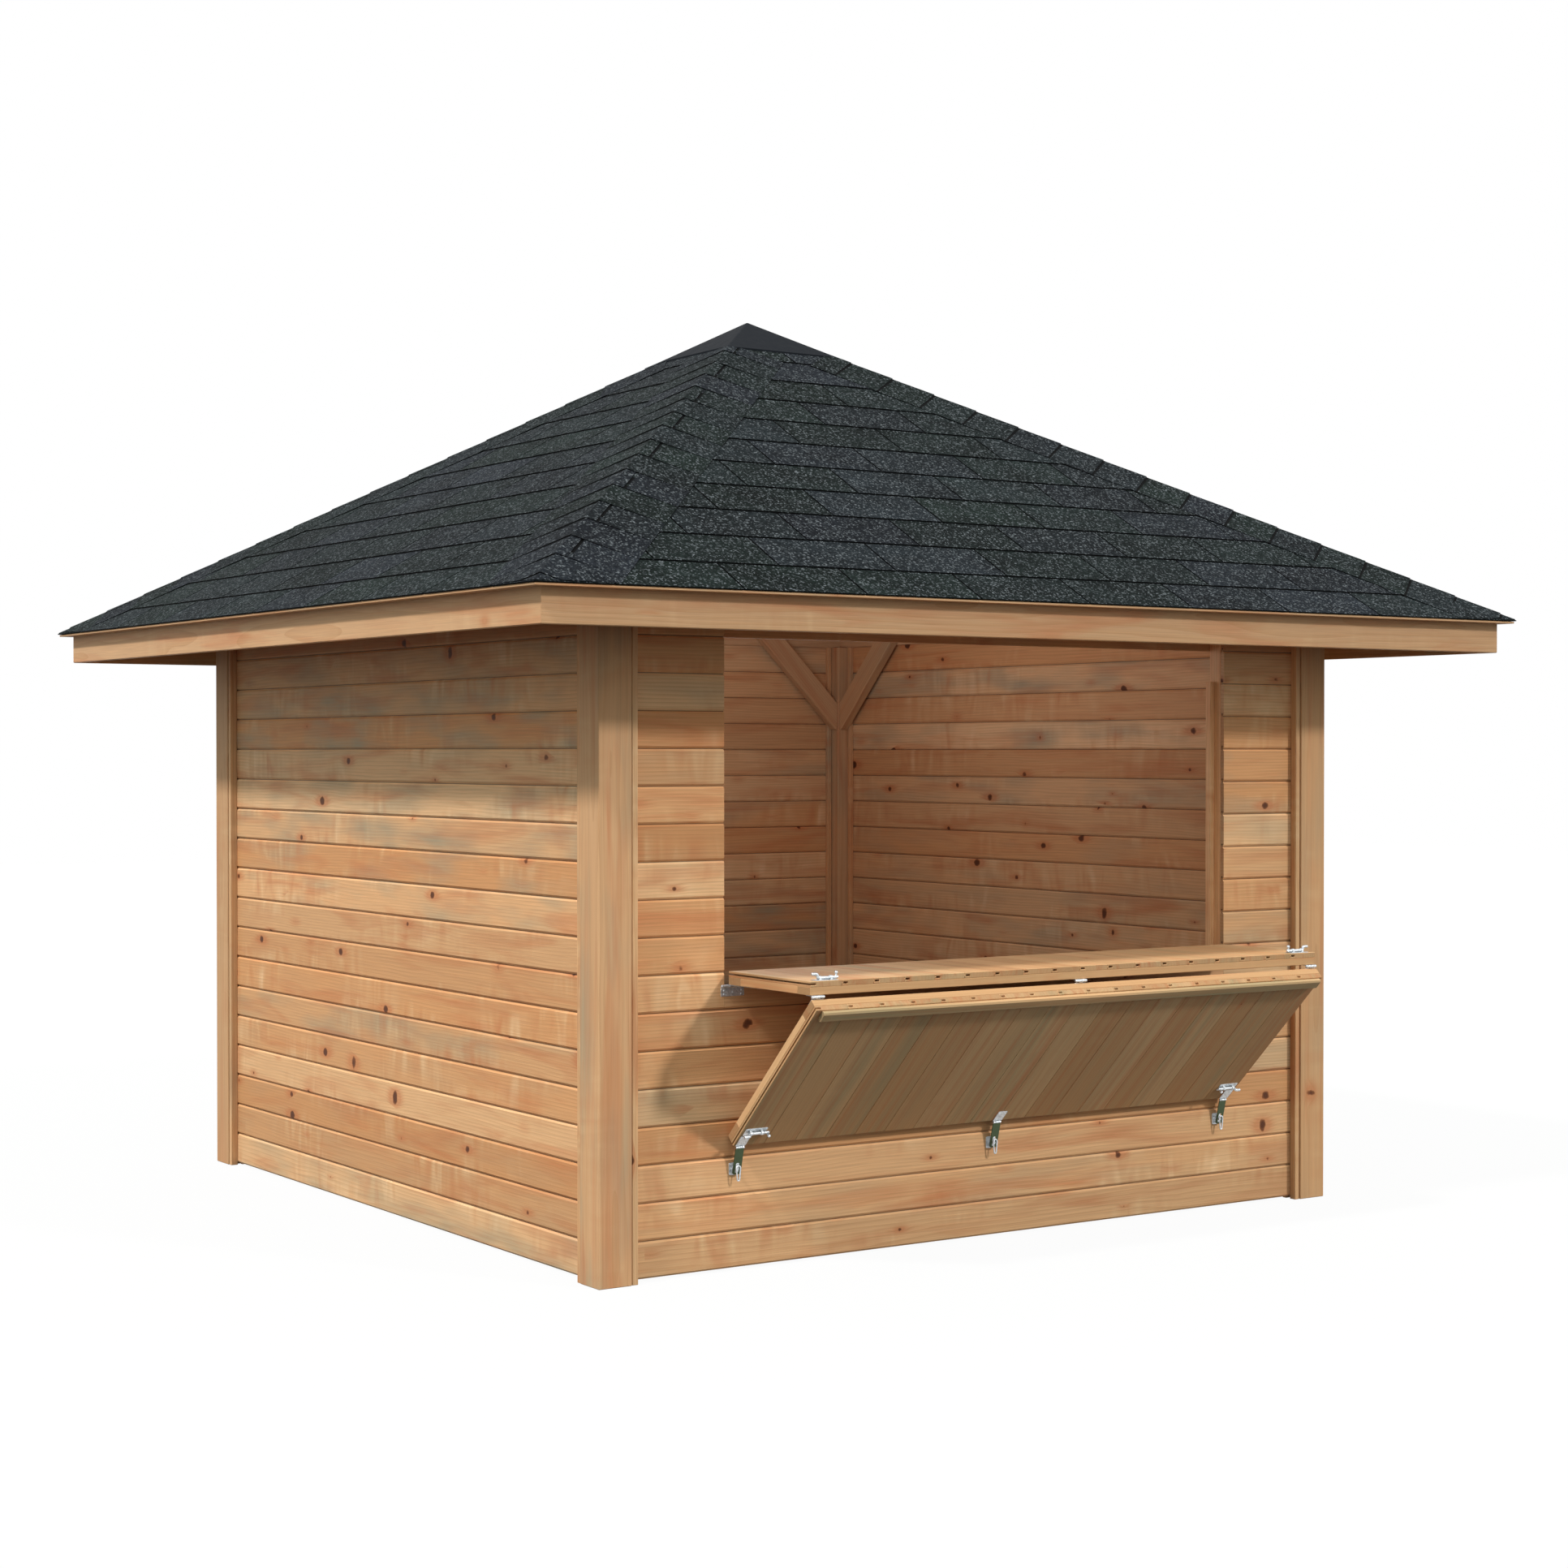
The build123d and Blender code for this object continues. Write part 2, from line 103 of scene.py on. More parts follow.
# Planed spruce under a warm brown stain: streaky growth rings, small dark knots with a reddish ring,
# and stain that takes unevenly, so boards drift between honey, red-brown and a greyish tan.
# Pattern sizes are in mm, three of them along, across and into the log. Sharpness is per metre.
boardLook = {
    "light": "#DDB285", "warm": "#C99161", "grey": "#9E9076", "red": "#B86C42",
    "ring": "#A87545", "knot": "#47281A", "knotRim": "#7A4527", "pale": "#EBCBA0",
    "roughness": 0.62, "gloss": 0.2, "endGrainAndPaintedLight": 0.24, "reliefDepth": 0.6,
    "knotCell": (250, 82, 100), "knotRadius": 18, "knotShare": 0.45, "knotStretch": (0.8, 1.0, 0.4),
    "smallKnots": 2.1, "spikeShare": 0.14, "spikeWidth": 0.55, "ragged": (50 / 3,) * 3, "raggedDepth": 8,
    "haloStretch": (0.4, 0.9, 1.0), "rimSharp": 330, "coreSharp": 190, "haloSharp": 60, "fadeSharp": 300,
    "ringWidth": 12,  # drawn three times the real ring so that it shows
    "ringDepth": 0.32, "ringEdge": 2.2, "ringBulge": 11, "wander": (850, 210, 210), "wanderReach": 55,
    "fibre": (240, 4, 4), "fibreDepth": 0.5,
    "warmPatch": (560, 75, 60), "warmDepth": 0.65, "greyPatch": (430, 110, 90), "greyShift": (7.0, 3.0, 5.0),
    "smudge": (105, 420, 420), "smudgeShare": 0.55, "smudgeArea": (520, 150, 150),
    "areaShift": (2.0, 9.0, 4.0),
    "haloDepth": 0.55, "rimDepth": 0.9, "coreDepth": 0.8,
}


def stainedSpruce(name, look):
    material, tree = newMaterial(name)
    place, tone, cut = pieceValues(tree)

    # knots: one chance in each cell of the log, some drawn out across the board as spike knots
    cell = perMetre(*look["knotCell"])
    cellPlace = addNode(tree, "VectorMath", [place, cell], operation="MULTIPLY")
    knotCells = addNode(tree, "TexVoronoi", {"Vector": cellPlace, "Scale": 1.0}, voronoi_dimensions="3D")
    luck = addNode(tree, "SeparateXYZ", [knotCells.outputs["Color"]])
    offset = addNode(tree, "VectorMath", [cellPlace, knotCells.outputs["Position"]], operation="SUBTRACT")
    stretch = [share / scale for share, scale in zip(look["knotStretch"], cell)]
    offset = addNode(tree, "VectorMath", [offset, stretch], operation="MULTIPLY")
    offset = addNode(tree, "SeparateXYZ", [offset])
    spike = addNode(tree, "Math", [luck.outputs[1], 1 - look["spikeShare"]], operation="GREATER_THAN")
    spike = addNode(tree, "Math", [spike, look["spikeWidth"] - 1, 1.0], operation="MULTIPLY_ADD")
    across = addNode(tree, "Math", [offset.outputs[1], spike], operation="MULTIPLY")
    offset = addNode(tree, "CombineXYZ", [offset.outputs[0], across, offset.outputs[2]])
    ragged, raggedDepth = streaks(tree, place, look["ragged"], Detail=2.0), look["raggedDepth"] / 1000
    away = addNode(tree, "VectorMath", [offset], operation="LENGTH").outputs["Value"]
    away = addNode(tree, "Math", [ragged, raggedDepth, away], operation="MULTIPLY_ADD")
    away = addNode(tree, "Math", [away, raggedDepth / 2], operation="SUBTRACT")
    size = addNode(tree, "MapRange", {"Value": luck.outputs[0], "From Min": 1 - look["knotShare"]})
    size = addNode(tree, "Math", [size, look["smallKnots"]], operation="POWER")
    radius = addNode(tree, "Math", [size, look["knotRadius"] / 1000], operation="MULTIPLY")
    gap = addNode(tree, "Math", [radius, away], operation="SUBTRACT")
    drawnOut = addNode(tree, "VectorMath", [offset, look["haloStretch"]], operation="MULTIPLY")
    drawnOut = addNode(tree, "VectorMath", [drawnOut], operation="LENGTH").outputs["Value"]
    haloGap = addNode(tree, "Math", [radius, drawnOut], operation="SUBTRACT")
    knot = addNode(tree, "Math", [gap, look["rimSharp"], 0.5], operation="MULTIPLY_ADD", use_clamp=True)
    there = addNode(tree, "Math", [radius, look["fadeSharp"]], operation="MULTIPLY", use_clamp=True)
    halo = addNode(tree, "Math", [haloGap, look["haloSharp"], 1.0], operation="MULTIPLY_ADD", use_clamp=True)
    halo = addNode(tree, "Math", [halo, 2.0], operation="POWER")
    halo = addNode(tree, "Math", [halo, there], operation="MULTIPLY")
    knot = addNode(tree, "Math", [knot, there], operation="MULTIPLY")
    core = addNode(tree, "Math", [gap, look["coreSharp"]], operation="MULTIPLY", use_clamp=True)

    # growth rings about a pith that wanders along the log and bulges round the knots
    reach = look["wanderReach"] / 1000
    wander = streaks(tree, place, look["wander"], Detail=2.0, Roughness=0.45).outputs["Color"]
    wander = addNode(tree, "VectorMath", [wander, (0.5, 0.5, 0.5)], operation="SUBTRACT")
    wander = addNode(tree, "VectorMath", [wander, (0.0, reach, reach), place], operation="MULTIPLY_ADD")
    wander = addNode(tree, "VectorMath", [wander, (0.0, 1.0, 1.0)], operation="MULTIPLY")
    growth = addNode(tree, "VectorMath", [wander], operation="LENGTH").outputs["Value"]
    growth = addNode(tree, "Math", [halo, look["ringBulge"] / 1000, growth], operation="MULTIPLY_ADD")
    growth = addNode(tree, "Math", [growth, 1000 / look["ringWidth"]], operation="MULTIPLY")
    ring = addNode(tree, "Math", [growth], operation="FRACT")
    ring = addNode(tree, "Math", [ring, look["ringEdge"]], operation="POWER")

    fibre = streaks(tree, place, look["fibre"], Detail=3.0, Roughness=0.6)
    warmPatch = streaks(tree, place, look["warmPatch"], Detail=3.0, Distortion=0.6)
    warmPatch = addNode(tree, "MapRange", {"Value": warmPatch, "From Min": 0.5, "From Max": 0.78})
    greyPatch = streaks(tree, place, look["greyPatch"], look["greyShift"], Detail=2.0)
    greyPatch = addNode(tree, "MapRange", {"Value": greyPatch, "From Min": 0.44, "From Max": 0.74})
    greyPatch = addNode(tree, "Math", [greyPatch, tone.outputs[1]], operation="MULTIPLY")

    # feathery smudges across the board, where the plane has crossed leaning grain
    smudge = streaks(tree, place, look["smudge"], Detail=1.0, Distortion=1.6)
    smudgeArea = streaks(tree, place, look["smudgeArea"], look["areaShift"], Detail=1.0)
    smudgeArea = addNode(tree, "MapRange", {"Value": smudgeArea, "From Min": 0.48, "From Max": 0.7,
                                            "To Max": look["smudgeShare"]})
    paleSmudge = addNode(tree, "MapRange", {"Value": smudge, "From Min": 0.5, "From Max": 0.8})
    paleSmudge = addNode(tree, "Math", [paleSmudge, smudgeArea], operation="MULTIPLY")
    redSmudge = addNode(tree, "MapRange", {"Value": smudge, "From Min": 0.46, "From Max": 0.2})
    redSmudge = addNode(tree, "Math", [redSmudge, smudgeArea], operation="MULTIPLY")

    colour = addNode(tree, "Mix", {"Factor": tone.outputs[0], "A": srgb(look["light"]),
                                   "B": srgb(look["warm"])}, data_type="RGBA")
    for layer, depth, tint in (
        (greyPatch, 1.0, "grey"), (paleSmudge, 1.0, "pale"), (redSmudge, 1.0, "red"),
        (warmPatch, look["warmDepth"], "red"), (ring, look["ringDepth"], "ring"),
        (halo, look["haloDepth"], "red"), (knot, look["rimDepth"], "knotRim"),
        (core, look["coreDepth"], "knot"),
    ):
        layer = addNode(tree, "Math", [layer, depth], operation="MULTIPLY")
        colour = addNode(tree, "Mix", {"Factor": layer, "A": colour, "B": srgb(look[tint])}, data_type="RGBA")
    fibreDepth = look["fibreDepth"]
    shade = addNode(tree, "Math", [fibre, fibreDepth, 1.02 - fibreDepth / 2], operation="MULTIPLY_ADD")
    shade = addNode(tree, "Math", [shade, tone.outputs[2]], operation="MULTIPLY")
    # cutFace darkens end grain, and also paints shade inside wall joints and a paler highlight on chamfers
    # (below 0)
    endGrainAndPaintedLight = addNode(tree, "Math", [cut, -look["endGrainAndPaintedLight"], 1.0], operation="MULTIPLY_ADD")
    shade = addNode(tree, "Math", [shade, endGrainAndPaintedLight], operation="MULTIPLY")  # end grain drinks more stain
    colour = addNode(tree, "VectorMath", {"Vector": colour, "Scale": shade}, operation="SCALE")

    rough = addNode(tree, "MapRange", {"Value": fibre, "To Min": look["roughness"] - 0.1,
                                       "To Max": look["roughness"] + 0.12})
    height = addNode(tree, "Math", [ring, 0.35, fibre], operation="MULTIPLY_ADD")
    bump = addNode(tree, "Bump", {"Strength": 0.5, "Distance": look["reliefDepth"] / 1000, "Height": height})
    shader = addNode(tree, "BsdfPrincipled", {"Base Color": colour, "Roughness": rough, "IOR": 1.48,
                                              "Specular IOR Level": look["gloss"], "Normal": bump})
    addNode(tree, "OutputMaterial", [shader])
    return material


boardSpruce = stainedSpruce("stainedSpruceBoard", boardLook)
postSpruce = stainedSpruce("stainedSprucePost", {
    **boardLook, "light": "#D6AD85", "warm": "#C6976B", "knotCell": (420, 110, 110), "knotRadius": 10,
    "warmPatch": (900, 60, 60), "ringDepth": 0.25, "fibreDepth": 0.3, "smudgeShare": 0.15,
})
fasciaSpruce = stainedSpruce("stainedSpruceFascia", {
    **boardLook, "light": "#CFA47B", "warm": "#C1966E", "knotCell": (520, 90, 100), "knotRadius": 11,
    "smudgeShare": 0.12,
})
leafSpruce = stainedSpruce("stainedSpruceLeaf", {
    **boardLook, "light": "#CDA67A", "warm": "#BD9064", "grey": "#9A8D6A", "knotShare": 0.12, "knotRadius": 8,
    "warmPatch": (1500, 26, 60), "greyPatch": (900, 60, 90), "smudgeShare": 0.1, "ringDepth": 0.18,
    "fibreDepth": 0.28,
})

# Bitumen felt shingle faced with crushed slate: charcoal tabs that drift between blue-black and
# green-black, a pale sparkle of grit, and black bitumen where a tab is cut. The same black paints shade
# on the sheets set under the slots and under course and lap edges.
shingleLook = {
    "blue": "#171A1F", "green": "#101815", "grit": "#6F7477", "bitumenAndShade": "#050606",
    "gritSize": 5.5,  # mm, the real 2 mm grit drawn coarser so that it shows
    "gritHeight": 1.2, "gritShade": 0.8, "sparkle": 0.7, "rareSparkle": 8.0,
    "patch": (260, 180, 180), "patchDepth": 1.7, "roughness": 0.9, "gloss": 0.06,
}


def slateShingle(name, look):
    material, tree = newMaterial(name)
    place, tone, cut = pieceValues(tree)
    grit = addNode(tree, "TexVoronoi", {"Vector": place, "Scale": 1000 / look["gritSize"]},
                   voronoi_dimensions="3D")
    luck = addNode(tree, "SeparateXYZ", [grit.outputs["Color"]])
    colour = addNode(tree, "Mix", {"Factor": tone.outputs[0], "A": srgb(look["blue"]),
                                   "B": srgb(look["green"])}, data_type="RGBA")
    shade = streaks(tree, place, look["patch"], Detail=3.0)
    shade = addNode(tree, "Math", [shade, look["patchDepth"]], operation="MULTIPLY")
    shade = addNode(tree, "Math", [shade, tone.outputs[2]], operation="MULTIPLY")
    gritShade = look["gritShade"]
    grain = addNode(tree, "Math", [luck.outputs[1], gritShade, 1 - gritShade / 2], operation="MULTIPLY_ADD")
    shade = addNode(tree, "Math", [shade, grain], operation="MULTIPLY")
    colour = addNode(tree, "VectorMath", {"Vector": colour, "Scale": shade}, operation="SCALE")
    sparkle = addNode(tree, "Math", [luck.outputs[0], look["rareSparkle"]], operation="POWER")
    sparkle = addNode(tree, "Math", [sparkle, look["sparkle"]], operation="MULTIPLY")
    for layer, tint in ((sparkle, "grit"), (cut, "bitumenAndShade")):
        colour = addNode(tree, "Mix", {"Factor": layer, "A": colour, "B": srgb(look[tint])}, data_type="RGBA")
    bump = addNode(tree, "Bump", {"Strength": 0.6, "Distance": look["gritHeight"] / 1000,
                                  "Height": luck.outputs[2]})
    shader = addNode(tree, "BsdfPrincipled", {
        "Base Color": colour, "Roughness": look["roughness"], "IOR": 1.5,
        "Specular IOR Level": look["gloss"], "Normal": bump})
    addNode(tree, "OutputMaterial", [shader])
    return material


feltShingle = slateShingle("slateFacedFelt", shingleLook)

# Coated sheet steel folded over the apex: smooth, dark slate, a satin coat with a slight mottle.
capLook = {"coat": "#121519", "worn": "#171A1F", "mottle": 35, "roughness": 0.65, "gloss": 0.05}
coatedSheet, tree = newMaterial("slateCoatedSteel")
mottle = addNode(tree, "TexNoise", {"Vector": addNode(tree, "TexCoord").outputs["Object"],
                                    "Scale": 1000 / capLook["mottle"], "Detail": 4.0})
coat = addNode(tree, "Mix", {"Factor": mottle, "A": srgb(capLook["coat"]), "B": srgb(capLook["worn"])},
               data_type="RGBA")
coatRough = addNode(tree, "MapRange", {"Value": mottle, "To Min": capLook["roughness"] - 0.08,
                                       "To Max": capLook["roughness"] + 0.1})
coatShader = addNode(tree, "BsdfPrincipled", {"Base Color": coat, "Roughness": coatRough, "IOR": 1.5,
                                             "Specular IOR Level": capLook["gloss"]})
addNode(tree, "OutputMaterial", [coatShader])

# Bright zinc-plated pressed steel: cool white metal, soft gloss, a faint crystal spangle. The hasp straps
# are painted dark olive (cutFace), a painted reflection of their surroundings.
zincLook = {"zinc": "#D9DDDF", "dull": "#B4BABD", "olive": "#4B5640", "spangle": 5, "roughness": 0.5}
zincSteel, tree = newMaterial("brightZincPlate")
spangle = addNode(tree, "TexVoronoi", {"Vector": addNode(tree, "TexCoord").outputs["Object"],
                                       "Scale": 1000 / zincLook["spangle"]})
spangle = addNode(tree, "SeparateXYZ", [spangle.outputs["Color"]])
zinc = addNode(tree, "Mix", {"Factor": spangle.outputs[0], "A": srgb(zincLook["zinc"]),
                             "B": srgb(zincLook["dull"])}, data_type="RGBA")
paintedStrapReflection = addNode(tree, "Attribute", attribute_name="cutFace").outputs["Fac"]
zinc = addNode(tree, "Mix", {"Factor": paintedStrapReflection, "A": zinc, "B": srgb(zincLook["olive"])},
               data_type="RGBA")
zincRough = addNode(tree, "MapRange", {"Value": spangle.outputs[1], "To Min": zincLook["roughness"] - 0.06,
                                       "To Max": zincLook["roughness"] + 0.1})
zincShader = addNode(tree, "BsdfPrincipled", {"Base Color": zinc, "Roughness": zincRough, "Metallic": 1.0})
addNode(tree, "OutputMaterial", [zincShader])
print("materials:", len(bpy.data.materials))


# Mesh building. A kit gathers the points and faces of one piece, with three values for its material:
# logPlace (metres along, across and into the log), boardTone (honey to warm, greyness, brightness) and
# cutFace (1 on end grain and on cut edges, more in a joint where stain gathers and painted shade darkens
# the gap, below 0 on a milled chamfer as a painted highlight; on the roof it marks black sheets of painted
# shade, and on the hasp straps a painted reflection).
def newKit(seed):
    return {"points": [], "faces": [], "log": [], "tone": [], "cut": [], "dice": random.Random(seed)}


def drawTone(kit, spread=0.1):
    dice = kit["dice"]
    return dice.random(), dice.random() ** 1.5, dice.uniform(1 - spread, 1 + 0.8 * spread)


def addPoints(kit, points, logs, tone):
    kit["points"] += [tuple(p) for p in points]
    kit["log"] += [tuple(p) for p in logs]
    kit["tone"] += [tone] * len(points)


def addFace(kit, corners, cut=0.0):
    kit["faces"].append(tuple(corners))
    kit["cut"].append(cut)


def axes(origin, sweep, across, out):
    # matrix from a piece's own directions to the frame: columns are its sweep, across and out directions
    columns = [Vector(sweep).to_4d(), Vector(across).to_4d(), Vector(out).to_4d(), Vector(origin).to_4d()]
    for column in columns[:3]:
        column.w = 0
    return Matrix(columns).transposed()


def insetOutline(outline, amount):
    # moves every side of a closed outline inwards
    count = len(outline)
    area = sum(outline[i - 1][0] * outline[i][1] - outline[i][0] * outline[i - 1][1] for i in range(count))
    amount = math.copysign(amount, area)
    result = []
    for i in range(count):
        before, here, after = (Vector(outline[j % count]) for j in (i - 1, i, i + 1))
        first, second = (here - before).normalized(), (after - here).normalized()
        first, second = Vector((-first.y, first.x)), Vector((-second.y, second.x))
        result.append(tuple(here + (first + second) * amount / max(0.3, 1 + first.dot(second))))
    return result


def addPrism(kit, place, outline, span, grain="sweep", cuts=((0, 0), (0, 0)), edge=0.001, skew=None,
             pith=(0.05, 0.03, 0.12), spread=0.1, tone=None, sideCuts=None):
    # Sweeps a closed outline along the first axis of place, with broken edges at both ends. The grain runs
    # along the sweep, or along the outline's first direction. cuts slope the two ends per metre of outline,
    # and sideCuts holds the cutFace values of sides that aren't plain.
    dice = kit["dice"]
    shift = Vector((dice.uniform(0, 60), dice.uniform(-pith[0], pith[0]), dice.uniform(pith[1], pith[2])))
    tone = tone or drawTone(kit, spread)
    base, count = len(kit["points"]), len(outline)
    inner = insetOutline(outline, edge)
    for end, loop, step in ((0, inner, 0), (0, outline, edge), (1, outline, -edge), (1, inner, 0)):
        local = []
        for i, (p, q) in enumerate(loop):
            r = span[end] + cuts[end][0] * p + cuts[end][1] * q + step
            if skew and i in skew:
                p, q = p + skew[i][0] * r, q + skew[i][1] * r
            local.append(Vector((r, p, q)))
        logs = [v + shift if grain == "sweep" else v.yzx + shift for v in local]
        addPoints(kit, [place @ v for v in local], logs, tone)
    for ring in range(3):
        low = base + ring * count
        for i in range(count):
            j = (i + 1) % count
            cut = sideCuts.get(i, 0.0) if sideCuts else 0.0
            addFace(kit, (low + i, low + j, low + count + j, low + count + i), cut)
    endCut = 1.0 if grain == "sweep" else 0.0
    addFace(kit, range(base + count - 1, base - 1, -1), endCut)
    addFace(kit, range(base + 3 * count, base + 4 * count), endCut)


def roundedBox(width, height, radius, steps=1):
    # closed outline about the middle, its corners rounded, or broken when steps is 1
    outline = []
    for corner, (sx, sy) in enumerate(((1, 1), (-1, 1), (-1, -1), (1, -1))):
        for step in range(steps + 1):
            angle = math.radians(90 * (corner + step / steps))
            outline.append((sx * (width / 2 - radius) + radius * math.cos(angle),
                            sy * (height / 2 - radius) + radius * math.sin(angle)))
    return outline


def addBeam(kit, turn, low, high, grain, edge=0.0025, **look):
    # squared timber between two corners, its grain along axis number `grain`
    low, high = Vector(low), Vector(high)
    order = [grain, (grain + 1) % 3, (grain + 2) % 3]
    unit = [Vector([1.0 if i == axis else 0.0 for i in range(3)]) for axis in order]
    middle = (low + high) / 2
    middle[grain] = 0
    size = high - low
    addPrism(kit, turn @ axes(middle, *unit), roundedBox(size[order[1]], size[order[2]], edge),
             (low[grain], high[grain]), **look)


def camel(node):
    head, *rest = node.split("_")
    return head + "".join(word.capitalize() for word in rest)


def joinRings(kit, base, rings, count):
    # skins rings of points, count to a ring, and closes both ends
    for low in range(base, base + (rings - 1) * count, count):
        for i in range(count):
            j = (i + 1) % count
            addFace(kit, (low + i, low + j, low + count + j, low + count + i))
    addFace(kit, range(base, base + count))
    addFace(kit, range(base + (rings - 1) * count, base + rings * count))


def linkObject(name, data):
    holder = bpy.data.objects.new(name, data)
    bpy.context.scene.collection.objects.link(holder)
    return holder


def makePiece(kit, node, material, body="kiosk", smooth=None):
    mesh = bpy.data.meshes.new(camel(node))
    mesh.from_pydata(kit["points"], [], kit["faces"])
    for name, kind, domain, key, values in (
        ("logPlace", "FLOAT_VECTOR", "POINT", "vector", kit["log"]),
        ("boardTone", "FLOAT_VECTOR", "POINT", "vector", kit["tone"]),
        ("cutFace", "FLOAT", "FACE", "value", kit["cut"]),
    ):
        flat = [x for value in values for x in value] if key == "vector" else values
        mesh.attributes.new(name, kind, domain).data.foreach_set(key, flat)
    work = bmesh.new()
    work.from_mesh(mesh)
    bmesh.ops.remove_doubles(work, verts=work.verts, dist=1e-6)
    bmesh.ops.recalc_face_normals(work, faces=work.faces)
    work.to_mesh(mesh)
    work.free()
    if smooth:
        mesh.shade_smooth()
        mesh.set_sharp_from_angle(angle=math.radians(smooth))
    mesh.materials.append(material)
    piece = linkObject(camel(node), mesh)
    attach(piece, body)
    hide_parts(node)


upward = axes((0, 0, 0), zAxis, xAxis, yAxis)  # lays an outline flat and sweeps it up
plainTone = (0.5, 0.5, 1.0)

# Corner posts
postLook = {"radius": 0.004, "steps": 3, "edge": 0.002, "pith": (0.025, -0.025, 0.025)}
postLow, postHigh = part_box("front_left_post")
planHalf, postSize, postTop = -postLow.x, postHigh.x - postLow.x, postHigh.z
postInner, middle = planHalf - postSize, postSize / 2 - planHalf
postOutline = roundedBox(postSize, postSize, postLook["radius"], postLook["steps"])
for k, corner in enumerate(("front_left", "front_right", "back_right", "back_left")):
    kit = newKit(100 + k)
    addPrism(kit, turns[k] @ axes((middle, middle, 0), zAxis, xAxis, yAxis), postOutline, (0, postTop),
             edge=postLook["edge"], pith=postLook["pith"])
    makePiece(kit, corner + "_post", postSpruce)
print("posts done")

# Wall boards: tongue and groove with a V joint on both faces
wallBoard = {"course": 0.119, "bevel": 0.006, "depth": 0.005, "gap": 0.0032, "groove": 0.0095,
             "tongue": 0.008, "edge": 0.0006, "trim": 0.002,
             "leastFoot": 0.05, "leastTop": 0.02}  # shares of a board
tongueFit = {"front": 0.36, "back": 0.66, "play": 0.0003}  # front and back are shares of the thickness
# cutFace values: stain plus painted shade inside a joint, a painted highlight on the chamfer
jointStainAndLight = {"pool": 2.5, "chamferHighlight": -0.6}
wallLow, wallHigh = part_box("front_lower_wall")
wallFace, wallBack, wallFoot = -wallLow.y, -wallHigh.y, wallLow.z


def boardSection(low, high, thick, joint, lowJoint=True, highJoint=True, edge=0.001):
    # section (across, out) with the face at out = 0: groove in the low edge, tongue on the high edge
    front, back, half = -tongueFit["front"] * thick, -tongueFit["back"] * thick, joint["gap"] / 2
    bevel, depth, play = joint["bevel"], joint["depth"], tongueFit["play"]
    if lowJoint:
        side, floor = low + half, low + half + joint["groove"]
        lowSide = [(side + bevel, -thick), (side, depth - thick), (side, back - play), (floor, back - play),
                   (floor, front + play), (side, front + play), (side, -depth), (side + bevel, 0)]
    else:
        lowSide = [(low + edge, -thick), (low, edge - thick), (low, -edge), (low + edge, 0)]
    if highJoint:
        side, tip = high - half, high - half + joint["tongue"]
        highSide = [(side - bevel, 0), (side, -depth), (side, front), (tip, front),
                    (tip, back), (side, back), (side, depth - thick), (side - bevel, -thick)]
    else:
        highSide = [(high - edge, 0), (high, -edge), (high, edge - thick), (high - edge, -thick)]
    return lowSide + highSide


def jointStainAndLightCuts(section, lowJoint, highJoint):
    # stain pools inside a joint, and the darkening there also paints the gap's shade; the milled chamfer
    # on a board's upper edge is painted paler as a highlight
    first = len(section) - 8
    cuts = {i: jointStainAndLight["pool"] for i in range(1, 6)} if lowJoint else {}
    if highJoint:
        cuts.update({first + i: jointStainAndLight["pool"] for i in range(1, 6)})
        cuts[first] = jointStainAndLight["chamferHighlight"]
    return cuts


def boardedWall(node, seed, k, x0, x1, z0, z1, lowJoint=True, highJoint=False):
    kit = newKit(seed)
    course, trim = wallBoard["course"], wallBoard["trim"]
    place = turns[k] @ axes((0, -wallFace, 0), xAxis, zAxis, -yAxis)
    first = math.floor((z0 - wallFoot) / course + wallBoard["leastFoot"])
    last = math.ceil((z1 - wallFoot) / course - wallBoard["leastTop"])
    for n in range(first, last):
        low, high = max(z0, wallFoot + n * course), min(z1, wallFoot + (n + 1) * course)
        joints = (lowJoint or low > z0 + trim, highJoint or high < z1 - trim)
        section = boardSection(low, high, wallFace - wallBack, wallBoard, *joints)
        addPrism(kit, place, section, (x0, x1), edge=wallBoard["edge"], sideCuts=jointStainAndLightCuts(section, *joints))
    makePiece(kit, node, boardSpruce)


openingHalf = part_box("sill_board")[1].x
sillTop, headLow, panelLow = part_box("sill_board")[1].z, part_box("head_board")[0].z, wallHigh.z
for k, node in ((1, "right_wall"), (2, "back_wall"), (3, "left_wall")):
    boardedWall(node, 200 + k, k, -postInner, postInner, wallFoot, postTop)
boardedWall("front_lower_wall", 210, 0, -postInner, postInner, wallFoot, panelLow, highJoint=True)
boardedWall("front_left_panel", 257, 0, -postInner, -openingHalf, panelLow, postTop)
boardedWall("front_right_panel", 212, 0, openingHalf, postInner, panelLow, postTop)
boardedWall("sill_board", 213, 0, -openingHalf, openingHalf, panelLow, sillTop)
boardedWall("head_board", 214, 0, -openingHalf, openingHalf, headLow, postTop, lowJoint=False)
print("walls done")

# Fixing battens on both faces of the boards, and the framing of the hatch opening
battenLook = {"width": 0.024, "gap": 0.003, "innerDepth": 0.02, "edge": 0.002}
for seed, node in ((220, "outer_battens"), (221, "inner_battens")):
    kit = newKit(seed)
    low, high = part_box(node)
    innerBack = wallBack - battenLook["innerDepth"]
    out, back = (-low.y, wallFace) if node == "outer_battens" else (wallBack, innerBack)
    for k in range(4):
        for hand in (-1, 1):
            x0, x1 = sorted(hand * (postInner - battenLook[side]) for side in ("gap", "width"))
            addBeam(kit, turns[k], (x0, -out, low.z), (x1, -back, high.z), 2, battenLook["edge"])
    makePiece(kit, node, boardSpruce)

